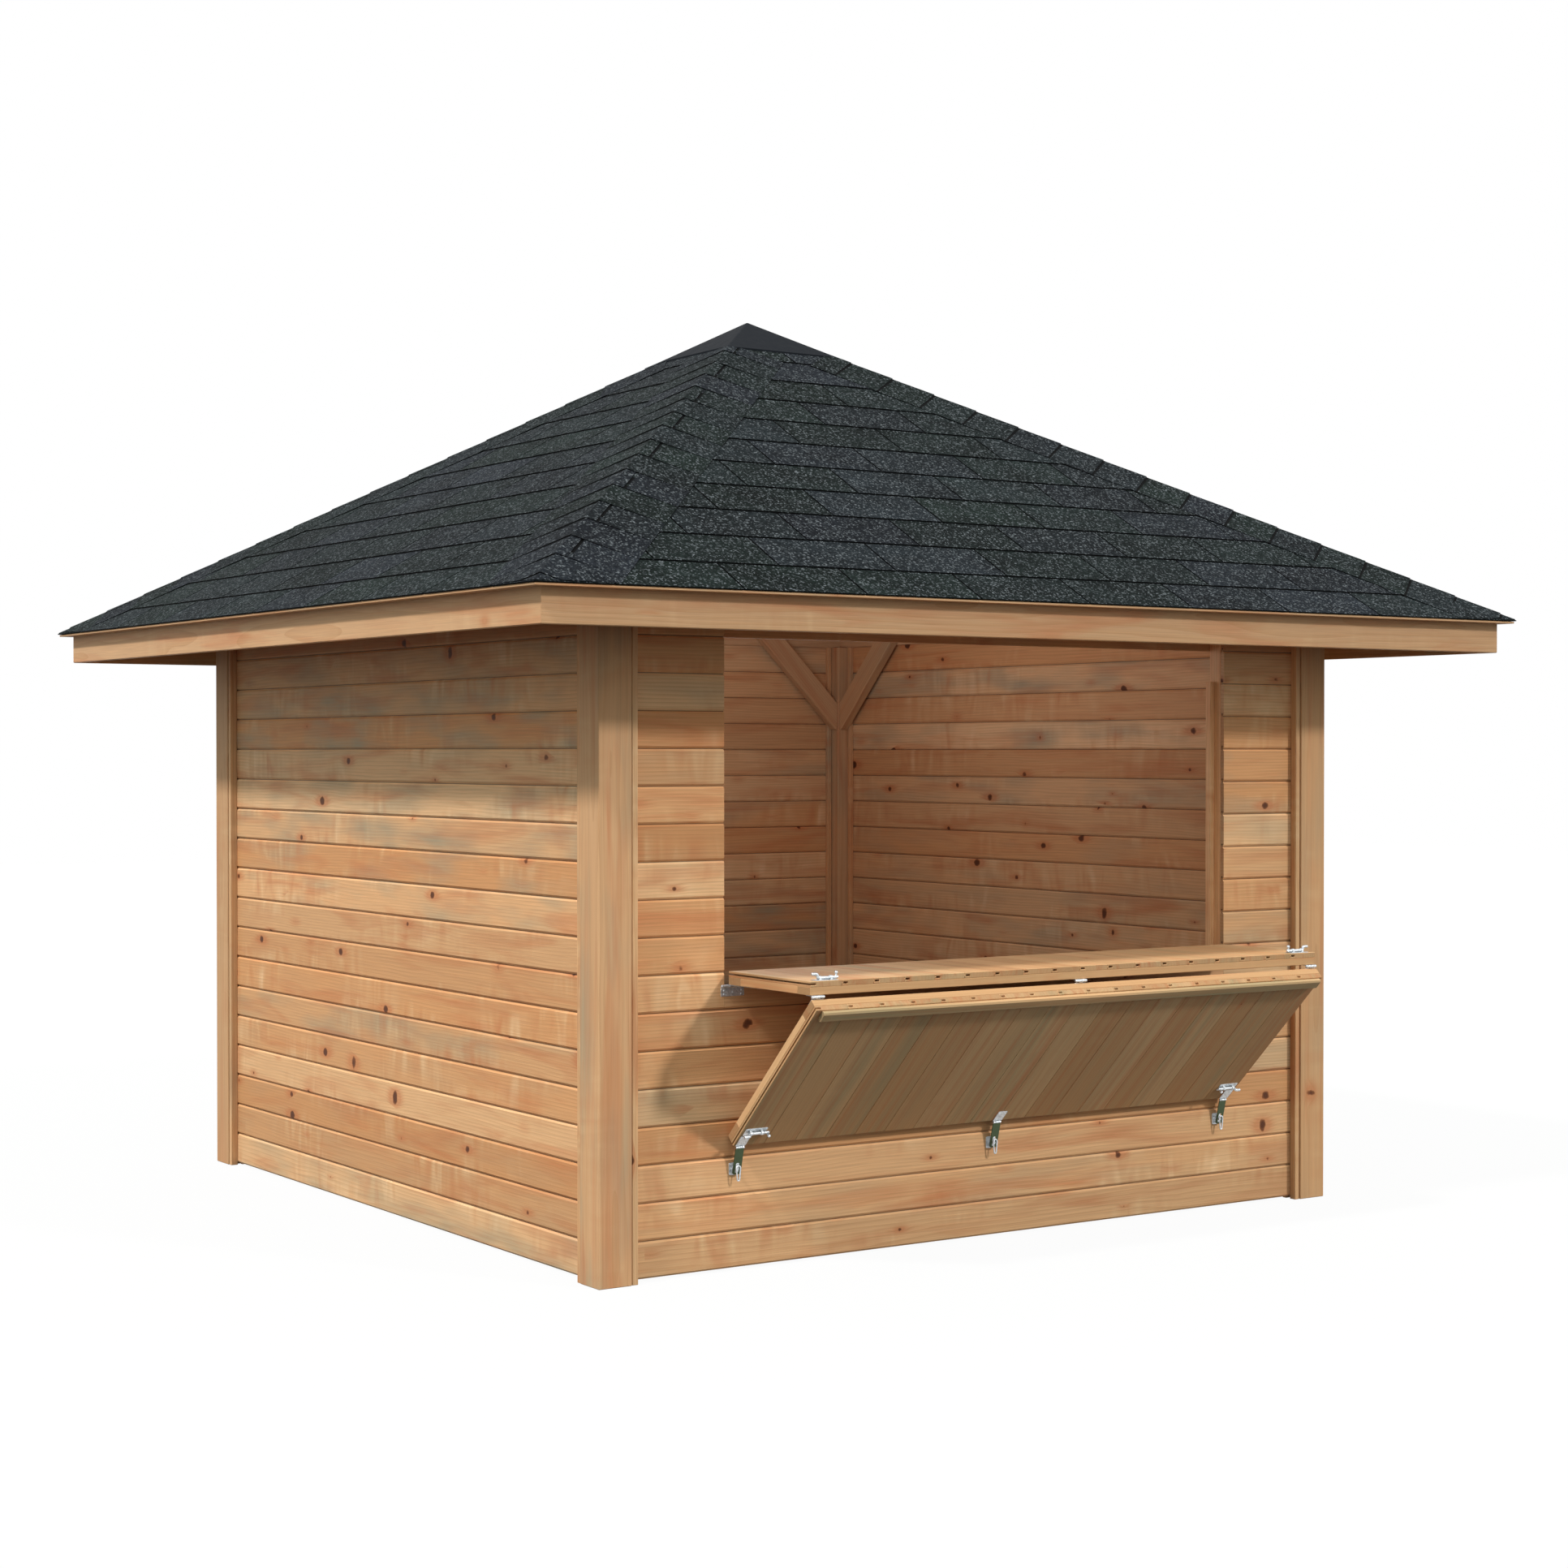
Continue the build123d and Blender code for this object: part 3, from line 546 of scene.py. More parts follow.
framingLook = {"stopWidth": 0.02, "tone": (0.3, 0.2, 1.16)}  # paler than the boards: painted light that lifts the shaded jamb recess
for seed, node in ((236, "jamb_studs"), (231, "hatch_stops")):
    kit = newKit(seed)
    low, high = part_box(node)
    inner = openingHalf if node == "jamb_studs" else high.x - framingLook["stopWidth"]
    foot = max(low.z, wallFoot)  # the studs end level with the boards
    for corners in (((low.x, low.y, foot), (-inner, high.y, high.z)), ((inner, low.y, foot), high)):
        addBeam(kit, turns[0], *corners, 2, tone=framingLook["tone"])
    makePiece(kit, node, boardSpruce)
for seed, node in ((232, "sill_rail"), (233, "head_rail")):
    kit = newKit(seed)
    low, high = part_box(node)
    addBeam(kit, turns[0], low, high, 0)
    makePiece(kit, node, boardSpruce)
print("battens and hatch framing done")

# Ring beams and knee braces
beamEdge = 0.004
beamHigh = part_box("front_beam")[1]
beamTop, beamInner = beamHigh.z, -beamHigh.y
for k, side in enumerate(sides):
    kit = newKit(300 + k)
    half = planHalf if k % 2 == 0 else beamInner
    addBeam(kit, turns[k], (-half, -planHalf, postTop), (half, -beamInner, beamTop), 0, beamEdge)
    makePiece(kit, side + "_beam", postSpruce)

sawnPith = (0.03, 0.02, 0.08)
braceLook = {"depth": 0.095, "thick": 0.045, "foot": 1.757, "tipCut": 0.012, "top": 2.27, "edge": 0.003}
kit = newKit(310)
foot, top, tipCut = braceLook["foot"], braceLook["top"], braceLook["tipCut"]
plumb, reach, slant = braceLook["depth"] * math.sqrt(2), top - foot, math.sqrt(0.5)
braceSide = [(postInner, foot + tipCut), (postInner, foot + plumb), (postInner - reach + plumb, top),
             (postInner - reach, top), (postInner - tipCut, foot + tipCut)]
outline = [(slant * (z - x), slant * (z + x)) for x, z in braceSide]
for k in range(4):
    for hand in (-1, 1):
        along, over = Vector((-hand * slant, 0, slant)), Vector((hand * slant, 0, slant))
        place = turns[k] @ axes((0, -beamInner, 0), yAxis, along, over)
        addPrism(kit, place, outline, (0, braceLook["thick"]), grain="outline", edge=braceLook["edge"],
                 pith=sawnPith)
makePiece(kit, "knee_braces", postSpruce)
print("beams and braces done")

# Roof timbers: rafters, hip rafters and the block they meet at
slope = math.radians(30)
rise, run, pitch = math.sin(slope), math.cos(slope), math.tan(slope)
shingleApex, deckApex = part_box("front_shingles")[1].z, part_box("front_roof_deck")[1].z
fasciaHalf = -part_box("front_fascia")[0].y
eaveHalf = -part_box("front_shingles")[0].y
rafterLook = {"width": 0.045, "depth": 0.095, "hipDepth": 0.12, "deck": 0.018, "jackPlace": 0.76,
              "blockHalf": 0.07, "blockHeight": 0.26, "blockEdge": 0.004, "blockPith": (0.01, -0.01, 0.01),
              "fascia": 0.02, "edge": 0.003}
rafterApex = deckApex - rafterLook["deck"] / run
tailHalf = fasciaHalf - rafterLook["fascia"]
blockHalf, rafterHalf = rafterLook["blockHalf"], rafterLook["width"] / 2


def addRafter(kit, turn, x, top, fall, depth, inner, tail, seat, lean=0.0):
    # side view of a rafter, laid along its own fall; lean is the bevel of a jack rafter against its hip
    under = top - depth * math.sqrt(1 + fall * fall)
    outline = [(inner, top - inner * fall), (tail, top - tail * fall), (tail, under - tail * fall),
               (seat, under - seat * fall), (seat, beamTop), ((under - beamTop) / fall, beamTop),
               (inner, under - inner * fall)]
    angle = math.atan(fall)
    c, s = math.cos(angle), math.sin(angle)
    laid = [(c * h - s * z, s * h + c * z) for h, z in outline]
    # a lean moves the upper end along the fall as the saw crosses the rafter
    skew = {i: (lean * c * (1 + fall * fall), 0) for i in (0, 6)} if lean else None
    place = turn @ axes((x, 0, 0), xAxis, (0, -c, -s), (0, -s, c))
    addPrism(kit, place, laid, (-rafterHalf, rafterHalf), grain="outline", edge=rafterLook["edge"],
             skew=skew, pith=sawnPith)


kit = newKit(320)
for k in range(4):
    addRafter(kit, turns[k], 0, rafterApex, pitch, rafterLook["depth"], blockHalf, tailHalf, planHalf)
    for hand in (-1, 1):
        inner = rafterLook["jackPlace"] + rafterLook["width"] / math.sqrt(2)
        addRafter(kit, turns[k], hand * rafterLook["jackPlace"], rafterApex, pitch, rafterLook["depth"],
                  inner, tailHalf, planHalf, lean=hand)
makePiece(kit, "rafters", postSpruce)

kit = newKit(321)
hipFall, eighthTurn = pitch / math.sqrt(2), Matrix.Rotation(math.radians(45), 4, "Z")
for k in range(4):
    addRafter(kit, turns[k] @ eighthTurn, 0, rafterApex - rafterHalf * hipFall, hipFall,
              rafterLook["hipDepth"], blockHalf, tailHalf * math.sqrt(2) - rafterHalf,
              planHalf * math.sqrt(2))
makePiece(kit, "hip_rafters", postSpruce)

kit = newKit(322)
blockRadius, blockTop = blockHalf / math.cos(math.pi / 8), rafterApex - blockHalf * pitch
angles = [math.pi / 8 + i * math.pi / 4 for i in range(8)]
octagon = [(blockRadius * math.cos(a), blockRadius * math.sin(a)) for a in angles]
addPrism(kit, upward, octagon, (blockTop - rafterLook["blockHeight"], blockTop),
         edge=rafterLook["blockEdge"], pith=rafterLook["blockPith"])
makePiece(kit, "apex_block", postSpruce)
print("roof timbers done")

# Roof deck: tongue-and-groove boards along each slope, V joints towards the room, cut on the hips
deckBoard = {"course": 0.119, "thick": 0.018, "bevel": 0.004, "depth": 0.0035, "gap": 0.0015,
             "groove": 0.0095, "tongue": 0.008, "first": 0.06, "edge": 0.0006}
thick, deckFirst = deckBoard["thick"], deckBoard["first"]
deckLength = math.hypot(fasciaHalf, fasciaHalf * pitch)
for k, side in enumerate(sides):
    kit = newKit(330 + k)
    place = turns[k] @ axes((0, rise * thick, deckApex - run * thick), xAxis, (0, -run, -rise),
                            (0, rise, -run))
    high = deckLength
    while high > deckFirst:
        low = max(high - deckBoard["course"], deckFirst)
        section = boardSection(low, high, thick, deckBoard, low > deckFirst, high < deckLength)
        addPrism(kit, place, section, (0, 0), cuts=((-run, rise), (run, -rise)), edge=deckBoard["edge"])
        high = low
    makePiece(kit, side + "_roof_deck", boardSpruce)

# Fascias and the two-step drip lath, mitred at the corners
fasciaLook = {"thick": 0.02, "edge": 0.0025, "endEdge": 0.0004}
mitre = ((0, -1), (0, 1))
low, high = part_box("front_fascia")
half = fasciaHalf - fasciaLook["thick"] / 2
outline = roundedBox(high.z - low.z, fasciaLook["thick"], fasciaLook["edge"])
for k, side in enumerate(sides):
    kit = newKit(340 + k)
    place = turns[k] @ axes((0, -half, (low.z + high.z) / 2), xAxis, zAxis, -yAxis)
    addPrism(kit, place, outline, (-half, half), cuts=mitre, edge=fasciaLook["endEdge"])
    makePiece(kit, side + "_fascia", fasciaSpruce)

lathLook = {"out": 0.033, "step": 0.043, "foot": 2.1365, "stepTop": 2.1435, "edge": 0.0008}
kit = newKit(350)
lathTop = deckApex - fasciaHalf * pitch
foot, stepTop, out, step, edge = (lathLook[key] for key in ("foot", "stepTop", "out", "step", "edge"))
outline = [(foot, 0), (foot, step - edge), (foot + edge, step), (stepTop - edge, step),
           (stepTop, step - edge), (stepTop, out), (lathTop - out * pitch, out), (lathTop, 0)]
for k in range(4):
    place = turns[k] @ axes((0, -fasciaHalf, 0), xAxis, zAxis, -yAxis)
    addPrism(kit, place, outline, (-fasciaHalf, fasciaHalf), cuts=mitre, edge=fasciaLook["endEdge"])
makePiece(kit, "drip_lath", fasciaSpruce)
print("deck and eaves done")

# Shingles: half-bonded tabs in courses, each lapped over the one below and trimmed on the hips
tabLook = {"exposure": 0.2, "firstExposure": 0.18, "width": 0.446, "gap": 0.007, "thick": 0.0032, "lap": 0.07,
           "stand": 0.0052, "underFall": 0.3, "spread": 0.3, "lastCourse": 0.25, "topGap": 0.01,
           "bond": (-0.002, 0.0035), "shadowLineHalf": 0.0004, "shadeSheetTone": (0.5, 0.0, 0.25),
           "shadeUnderlay": (-0.0047, -0.0059), "shadeUnderlayGap": 0.004}
slantLength = eaveHalf / run


def onSlope(k, x, s, n):
    # x along the eave, s down the slope from the apex, n out of the slope
    return turns[k] @ Vector((x, -s * run - n * rise, shingleApex - s * rise + n * run))


def clipOutline(outline, a, b, c):
    # keeps the part of an outline where a x + b y <= c
    kept = []
    for i, here in enumerate(outline):
        before = outline[i - 1]
        hereOut, beforeOut = a * here[0] + b * here[1] - c, a * before[0] + b * before[1] - c
        if (hereOut > 0) != (beforeOut > 0):
            t = beforeOut / (beforeOut - hereOut)
            kept.append((before[0] + t * (here[0] - before[0]), before[1] + t * (here[1] - before[1])))
        if hereOut <= 0:
            kept.append(here)
    return kept


def addSheet(kit, outline, lift, toFrame, tone, openEdge=None, cut=0.0):
    # a lapped sheet over a flat outline: lift gives its top and underside at a point, toFrame places it
    base, count = len(kit["points"]), len(outline)
    if count < 3:
        return
    for level in (0, 1):
        points = [toFrame(p, q, lift(p, q)[level]) for p, q in outline]
        addPoints(kit, points, [(p, q, 0.0) for p, q in outline], tone)
    addFace(kit, range(base, base + count), cut)
    addFace(kit, range(base + 2 * count - 1, base + count - 1, -1), 1.0)
    for i in range(count):
        j = (i + 1) % count
        if not (openEdge and openEdge(outline[i]) and openEdge(outline[j])):
            addFace(kit, (base + i, base + j, base + count + j, base + count + i), 1.0)

def trimToHips(outline):
    return clipOutline(clipOutline(outline, 1, -run, 0), -1, -run, 0)


for k, side in enumerate(sides):
    kit = newKit(400 + k)
    toSlope = partial(onSlope, k)
    # a black sheet under the tabs: painted shade in the slots between them
    x1, s1 = eaveHalf - tabLook["shadeUnderlayGap"], slantLength - tabLook["shadeUnderlayGap"]
    addSheet(kit, [(0, 0), (x1, s1), (-x1, s1)], lambda x, s: tabLook["shadeUnderlay"], toSlope,
             tabLook["shadeSheetTone"], cut=1.0)
    low, row, below = slantLength, 0, None
    while low > tabLook["lastCourse"]:
        high = low - (tabLook["firstExposure"] if row == 0 else tabLook["exposure"])
        top = max(high - tabLook["lap"], tabLook["topGap"])
        fall = tabLook["stand"] / (low - top)
        if below:
            # a thin black sheet under each upper course's edge: painted shadow line between two courses
            s0, s1 = (low + step for step in tabLook["bond"])
            addSheet(kit, trimToHips([(-low, s0), (low, s0), (low, s1), (-low, s1)]),
                     lambda x, s: [(s - below[0]) * below[1] + n * tabLook["shadowLineHalf"] for n in (1, -1)],
                     toSlope, tabLook["shadeSheetTone"], cut=1.0)
        half = math.ceil(eaveHalf / tabLook["width"])
        for n in range(-half - 1, half + 1):
            x0 = (n + (0.5 if row % 2 else 0.0)) * tabLook["width"] + tabLook["gap"] / 2
            x1 = x0 + tabLook["width"] - tabLook["gap"]
            tone = drawTone(kit, tabLook["spread"])
            addSheet(kit, trimToHips([(x0, top), (x1, top), (x1, low), (x0, low)]),
                     lambda x, s: ((s - low) * fall,
                                   (s - low) * fall * tabLook["underFall"] - tabLook["thick"]),
                     toSlope, tone)
        low, row, below = high, row + 1, (low, fall)
    makePiece(kit, side + "_shingles", feltShingle)
print("shingles done")

# Hip caps: tabs folded over each hip, lapped upwards; every second one shows its slot, its floor drawn
# black as painted shade, and a black bar below each lap paints its shadow
hipLook = {"exposure": 0.175, "first": 3.066, "flank": 0.215, "lap": 0.05, "lift": 0.0044, "thick": 0.0046,
           "fall": 0.9, "taper": 0.8, "spread": 0.22, "underCap": 0.04, "slotAt": (0.033, 0.043),
           "slotSink": 0.0028, "bleed": 0.009, "lapShadowTop": 0.0017, "lapShadowFall": 0.006, "lapShadowFoot": -0.002}
hipAlong, hipAcross = (1 / math.sqrt(1 + 1 / run ** 2), (1 / run) / math.sqrt(1 + 1 / run ** 2))
capHalf = -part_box("apex_cap")[0].y
hipTop, hipEave = capHalf / hipAlong, slantLength - hipLook["lift"]
foldShift = math.tan(math.acos(run * run) / 2)  # half the angle between two slopes
flank, slotAt = hipLook["flank"], hipLook["slotAt"]


def onHip(slopeSide, hand, down, q, n):
    # down runs along the hip and q across the flank; the fold sits where both flanks meet
    q = -foldShift * n if q == 0 else q
    return onSlope(slopeSide, hand * (down * hipAlong - q * hipAcross), down * hipAcross + q * hipAlong, n)


def onFold(point):
    return point[1] == 0


def hipStrip(top, low, q0, q1):
    return clipOutline([(top, q0), (low, q0), (low, q1), (top, q1)], hipAcross, hipAlong, hipEave)


kit = newKit(420)
fall = hipLook["lift"] * hipLook["fall"] / (hipLook["exposure"] + hipLook["lap"])
for k in range(4):
    low, count = hipLook["first"] + hipLook["exposure"], 0
    while low > hipTop:
        top = max(low - hipLook["exposure"] - hipLook["lap"], hipTop - hipLook["underCap"])
        tone = drawTone(kit, hipLook["spread"])

        def lift(down, q):
            n = (hipLook["lift"] + (down - low) * fall) * (1 - hipLook["taper"] * q / flank)
            return n, n - hipLook["thick"]

        for slopeSide, hand in ((k, -1), ((k + 3) % 4, 1)):
            toFrame = partial(onHip, slopeSide, hand)
            slotted = hand < 0 and count % 2 == 0
            for q0, q1 in ((0, slotAt[0]), (slotAt[1], flank)) if slotted else ((0, flank),):
                addSheet(kit, hipStrip(top, low, q0, q1), lift, toFrame, tone, onFold)
            # the slot's sunk floor is drawn black: painted shade
            if slotted:
                addSheet(kit, hipStrip(top, low, *slotAt),
                         lambda down, q: (lift(down, q)[0] - hipLook["slotSink"], lift(down, q)[1]), toFrame,
                         tone, cut=1.0)
            if hand > 0:
                # a black bar below the lap on this flank: painted shadow of the lap
                addSheet(kit, hipStrip(low, low + hipLook["bleed"], 0, flank),
                         lambda down, q: (hipLook["lapShadowTop"] - hipLook["lapShadowFall"] * q,
                                          hipLook["lapShadowFoot"]),
                         toFrame, tone, onFold, cut=1.0)
        low, count = low - hipLook["exposure"], count + 1
makePiece(kit, "hip_caps", feltShingle)

# Apex cap: one folded sheet with a short turned-down hem
capShape = {"thick": 0.002, "hem": 0.009, "fold": 0.004, "rim": (0.001, 0.0008), "under": 0.0025,
            "underTop": 0.006}
kit = newKit(430)
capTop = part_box("apex_cap")[1].z
fold, capRim, capInner = capShape["fold"], capTop - capHalf * pitch, capHalf - capShape["thick"]
loops = [(fold, capTop - fold * pitch), (capHalf - capShape["rim"][0], capRim + capShape["rim"][1]),
         (capHalf, capRim), (capHalf, capRim - capShape["hem"]), (capInner, capRim - capShape["hem"]),
         (capInner, capRim - capShape["under"]), (fold, capTop - capShape["underTop"])]
for half, z in loops:
    ring = [(x, y, z) for x, y in roundedBox(2 * half, 2 * half, min(fold, half * 0.9))]
    addPoints(kit, ring, ring, plainTone)
joinRings(kit, 0, len(loops), len(ring))
makePiece(kit, "apex_cap", coatedSheet)
print("roof covering done")

# Folding hatch. Each leaf has its own directions: X along the hinge, -Y towards the free edge,
# +Z out of the face that is inside when the hatch is shut.
hingeHeight, hingeRadius = 0.915, 0.005
leafLook = {"half": 1.07, "board": 0.018, "frame": 0.025, "rail": 0.07, "edgeGap": 0.005, "boards": 18,
            "boardEdge": 0.0012, "railEdge": 0.0015, "spread": 0.04,
            "stripWidth": 0.04, "stripEnds": (-1.049, 1.054), "stripThick": 0.018, "stripEdge": 0.005}
leafJoint = {"bevel": 0.0009, "depth": 0.0009, "gap": 0.0009, "groove": 0.021, "tongue": 0.006}
leafTop = hingeRadius + leafLook["frame"] + leafLook["board"]
counterDepth, dropLength = 0.462, 0.667
counterHinge = Vector((0, -wallFace - hingeRadius, hingeHeight))
dropHinge = counterHinge - Vector((0, 2 * leafLook["edgeGap"] + counterDepth, 0))
leaves = {
    "counter": (Matrix.Translation(counterHinge), counterDepth),
    "drop_leaf": (Matrix.Translation(dropHinge) @ Matrix.Rotation(math.radians(135), 4, "X"), dropLength),
}
half, rail, low, high = leafLook["half"], leafLook["rail"], hingeRadius, hingeRadius + leafLook["frame"]
width = 2 * half / leafLook["boards"]
for seed, (leaf, (place, length)) in zip((500, 510), leaves.items()):
    near, far = leafLook["edgeGap"], leafLook["edgeGap"] + length
    kit = newKit(seed)
    for n in range(leafLook["boards"]):
        section = boardSection(-half + n * width, -half + (n + 1) * width, leafLook["board"], leafJoint,
                               highJoint=n < leafLook["boards"] - 1)
        addPrism(kit, place @ axes((0, 0, leafTop), -yAxis, xAxis, zAxis), section, (near, far),
                 edge=leafLook["boardEdge"], spread=leafLook["spread"])
    makePiece(kit, leaf + "_boards", leafSpruce, leaf)

    kit = newKit(seed + 1)
    for y in (-far, -near - rail):
        addBeam(kit, place, (-half, y, low), (half, y + rail, high), 0, leafLook["railEdge"])
    for x in (-half, half - rail):
        addBeam(kit, place, (x, -far + rail, low), (x + rail, -near - rail, high), 1, leafLook["railEdge"])
    makePiece(kit, leaf + "_frame", leafSpruce, leaf)

    if leaf == "drop_leaf":
        kit = newKit(seed + 2)
        left, right = leafLook["stripEnds"]
        addBeam(kit, place, (left, -near - leafLook["stripWidth"], leafTop),
                (right, -near, leafTop + leafLook["stripThick"]), 0, leafLook["stripEdge"])
        makePiece(kit, leaf + "_edge_strip", leafSpruce, leaf)
print("hatch leaves done")


# Zinc-plated fittings
def circle(radius, steps):
    angles = [2 * math.pi * i / steps for i in range(steps)]
    return [(radius * math.cos(a), radius * math.sin(a)) for a in angles]


def addTurned(kit, place, profile, steps=20):
    # (along, radius) points turned about the first axis of place
    base = len(kit["points"])
    for along, radius in profile:
        ring = [Vector((along, p, q)) for p, q in circle(radius, steps)]
        addPoints(kit, [place @ v for v in ring], ring, plainTone)
    joinRings(kit, base, len(profile), steps)


def addKnuckle(kit, place, x0, x1, radius, rim):
    addTurned(kit, place, [(x0, radius - rim), (x0 + rim, radius), (x1 - rim, radius), (x1, radius - rim)])


rodEnd = {"rise": 0.35, "radius": 0.6}  # domed ends, as shares of the radius


def addRod(kit, place, path, radius, steps=14):
    # a round bar along points
    path = [Vector(p) for p in path]
    first, last = (path[1] - path[0]).normalized(), (path[-1] - path[-2]).normalized()
    rise = radius * rodEnd["rise"]
    spine = [path[0] - first * rise, *path, path[-1] + last * rise]
    side, end = None, len(spine) - 1
    base = len(kit["points"])
    for i, p in enumerate(spine):
        ahead = (spine[min(i + 1, end)] - spine[max(i - 1, 0)]).normalized()
        side = ahead.orthogonal() if side is None else side - ahead * side.dot(ahead)
        side = side.normalized()
        over = ahead.cross(side)
        r = radius * rodEnd["radius"] if i in (0, end) else radius
        ring = [p + c * side + s * over for c, s in circle(r, steps)]
        addPoints(kit, [place @ v for v in ring], ring, plainTone)
    joinRings(kit, base, len(spine), steps)


def addFrame(kit, place, outer, inner, span, cut=0.0):
    # a pressed plate with one hole: both outlines have the same number of points
    base, count = len(kit["points"]), len(outer)
    for r in span:
        for loop in (outer, inner):
            local = [Vector((r, p, q)) for p, q in loop]
            addPoints(kit, [place @ v for v in local], local, plainTone)
    for i in range(count):
        j = (i + 1) % count
        a, b, c, d = (base + n * count for n in range(4))
        for low, high in ((a, b), (c, d), (a, c), (b, d)):
            addFace(kit, (low + i, low + j, high + j, high + i), cut)


screwLook = {"head": 0.0034, "dome": 0.0009, "recess": 0.0014, "sunk": 0.0004}


def addScrew(kit, place, x, y, z):
    # raised countersunk head standing out of a plate along the third axis of place
    head, dome, recess = screwLook["head"], screwLook["dome"], screwLook["recess"]
    profile = [(-screwLook["sunk"], head), (0.0, head), (dome * 0.6, head * 0.75), (dome, recess),
               (dome * 0.2, recess * 0.5)]
    addTurned(kit, place @ Matrix.Translation((x, y, z)) @ upward, profile, 12)


def addPlate(kit, place, outline, span, edge=0.0004):
    addPrism(kit, place, outline, span, "outline", edge=edge, tone=plainTone)


def roundedPlate(width, height, radius, x=0.0, y=0.0, steps=3):
    return [(p + x, q + y) for p, q in roundedBox(width, height, radius, steps)]


hingeLook = {"pin": 0.0024, "plate": 0.002, "width": 0.033, "start": 0.0065, "corner": 0.003,
             "knuckleGap": 0.0005, "rim": 0.0007, "neck": 0.001, "neckEdge": 0.0003}


def addHingeHalf(kit, place, knuckles, outline, screws):
    # x along the pin, +y along the plate, +z towards the timber that the plate lies on
    span = (hingeRadius - hingeLook["plate"], hingeRadius)
    y0, y1 = hingeLook["neck"], hingeLook["start"] + hingeLook["neck"]
    addPlate(kit, place @ upward, outline, span)
    for x0, x1 in knuckles:
        addKnuckle(kit, place, x0, x1, hingeRadius, hingeLook["rim"])
        addPlate(kit, place @ upward, [(x0, y0), (x1, y0), (x1, y1), (x0, y1)], span, hingeLook["neckEdge"])
    for x, y in screws:
        addScrew(kit, place @ Matrix.Rotation(math.pi, 4, "X"), x, -y, -span[0])


# T hinges carry the counter: a plate on the wall and a tapered strap under the leaf
strapHinge = {"places": (-1.05, 0.0, 1.05), "length": 0.088, "middle": 0.03, "strap": 0.19, "root": 0.034,
              "tip": 0.022, "shoulder": 0.02, "screwInset": 0.011,
              "wallScrews": ((-1, 0.014), (-1, 0.026), (0, 0.02), (1, 0.014), (1, 0.026)),
              "strapScrews": ((-0.008, 0.026), (0.008, 0.026), (0, 0.075), (0, 0.125), (0, 0.176))}
buttHinge = {"places": (-1.045, 0.0, 1.045), "length": 0.046, "middle": 0.016,
             "screws": ((-0.014, 0.013), (-0.014, 0.026), (0.014, 0.013), (0.014, 0.026))}
wallKit, counterKit, dropKit = newKit(600), newKit(601), newKit(602)
plateDepth, plateStart = hingeLook["width"] - hingeLook["start"], hingeLook["start"]


def hingePlate(hinge):
    return roundedPlate(hinge["length"], plateDepth, hingeLook["corner"], 0, plateStart + plateDepth / 2)


def endKnuckles(hinge):
    inner = hinge["middle"] / 2 + hingeLook["knuckleGap"]
    return [(-hinge["length"] / 2, -inner), (inner, hinge["length"] / 2)]


def middleKnuckle(hinge):
    return [(-hinge["middle"] / 2, hinge["middle"] / 2)]


def addPin(kit, place, hinge):
    addRod(kit, place, [(-hinge["length"] / 2, 0, 0), (hinge["length"] / 2, 0, 0)], hingeLook["pin"])


root, tip, shoulder = strapHinge["root"] / 2, strapHinge["tip"] / 2, strapHinge["shoulder"]
tipMiddle = strapHinge["strap"] - tip
strap = [(-root, plateStart), (root, plateStart), (root, shoulder), (tip, tipMiddle)]
strap += [(tip * math.cos(a), tipMiddle + tip * math.sin(a)) for a in (math.pi * i / 6 for i in range(1, 6))]
strap += [(-tip, tipMiddle), (-root, shoulder)]
reach = strapHinge["length"] / 2 - strapHinge["screwInset"]
wallScrews = [(hand * reach, y) for hand, y in strapHinge["wallScrews"]]
for x in strapHinge["places"]:
    pin = Matrix.Translation(counterHinge + Vector((x, 0, 0)))
    addHingeHalf(wallKit, pin @ axes((0, 0, 0), xAxis, -zAxis, yAxis), endKnuckles(strapHinge),
                 hingePlate(strapHinge), wallScrews)
    addHingeHalf(counterKit, pin @ axes((0, 0, 0), xAxis, -yAxis, zAxis), middleKnuckle(strapHinge), strap,
                 strapHinge["strapScrews"])
    addPin(wallKit, pin, strapHinge)

for x in buttHinge["places"]:
    pin = Matrix.Translation(dropHinge + Vector((x, 0, 0)))
    addHingeHalf(counterKit, pin, endKnuckles(buttHinge), hingePlate(buttHinge), buttHinge["screws"])
    addPin(counterKit, pin, buttHinge)
    turned = leaves["drop_leaf"][0] @ axes((x, 0, 0), xAxis, -yAxis, zAxis)
    addHingeHalf(dropKit, turned, middleKnuckle(buttHinge), hingePlate(buttHinge), buttHinge["screws"])
makePiece(wallKit, "wall_hinge_leaves", zincSteel, smooth=35)
makePiece(counterKit, "counter_hinge_leaves", zincSteel, "counter", 35)
makePiece(dropKit, "drop_leaf_hinge_leaves", zincSteel, "drop_leaf", 35)

# Cranked slide bolts on the inner faces, near the free edges, their tips pointing at the jambs
boltLook = {"counter": (0.96, 0.02), "drop_leaf": (0.976, 0.07), "plate": (0.084, 0.034), "plateThick": 0.002,
            "corner": 0.004, "screwInset": (0.007, 0.0065), "radius": 0.005, "play": 0.001, "crank": 0.012,
            "crankReach": 0.07, "reach": 0.09, "bend": 0.005, "guide": (0.009, 0.02), "arch": 0.0072,
            "archFoot": 0.0032, "flange": (0.0008, 0.002), "knob": 0.0058, "knobRise": 0.014,
            "stem": (0.0042, 0.0034), "knobTip": 0.0008}
(width, height), thick, radius = boltLook["plate"], boltLook["plateThick"], boltLook["radius"]
rod = thick + radius + boltLook["play"]
tipHeight, bend, soft = rod + boltLook["crank"], boltLook["bend"], boltLook["bend"] * 0.3
guideWidth, guideHalf = boltLook["guide"][0], boltLook["guide"][1] / 2
(flangeLow, flangeTop), archRadius, archFoot = boltLook["flange"], boltLook["arch"], boltLook["archFoot"]
arch = [(guideHalf, flangeTop), (archRadius, archFoot)]
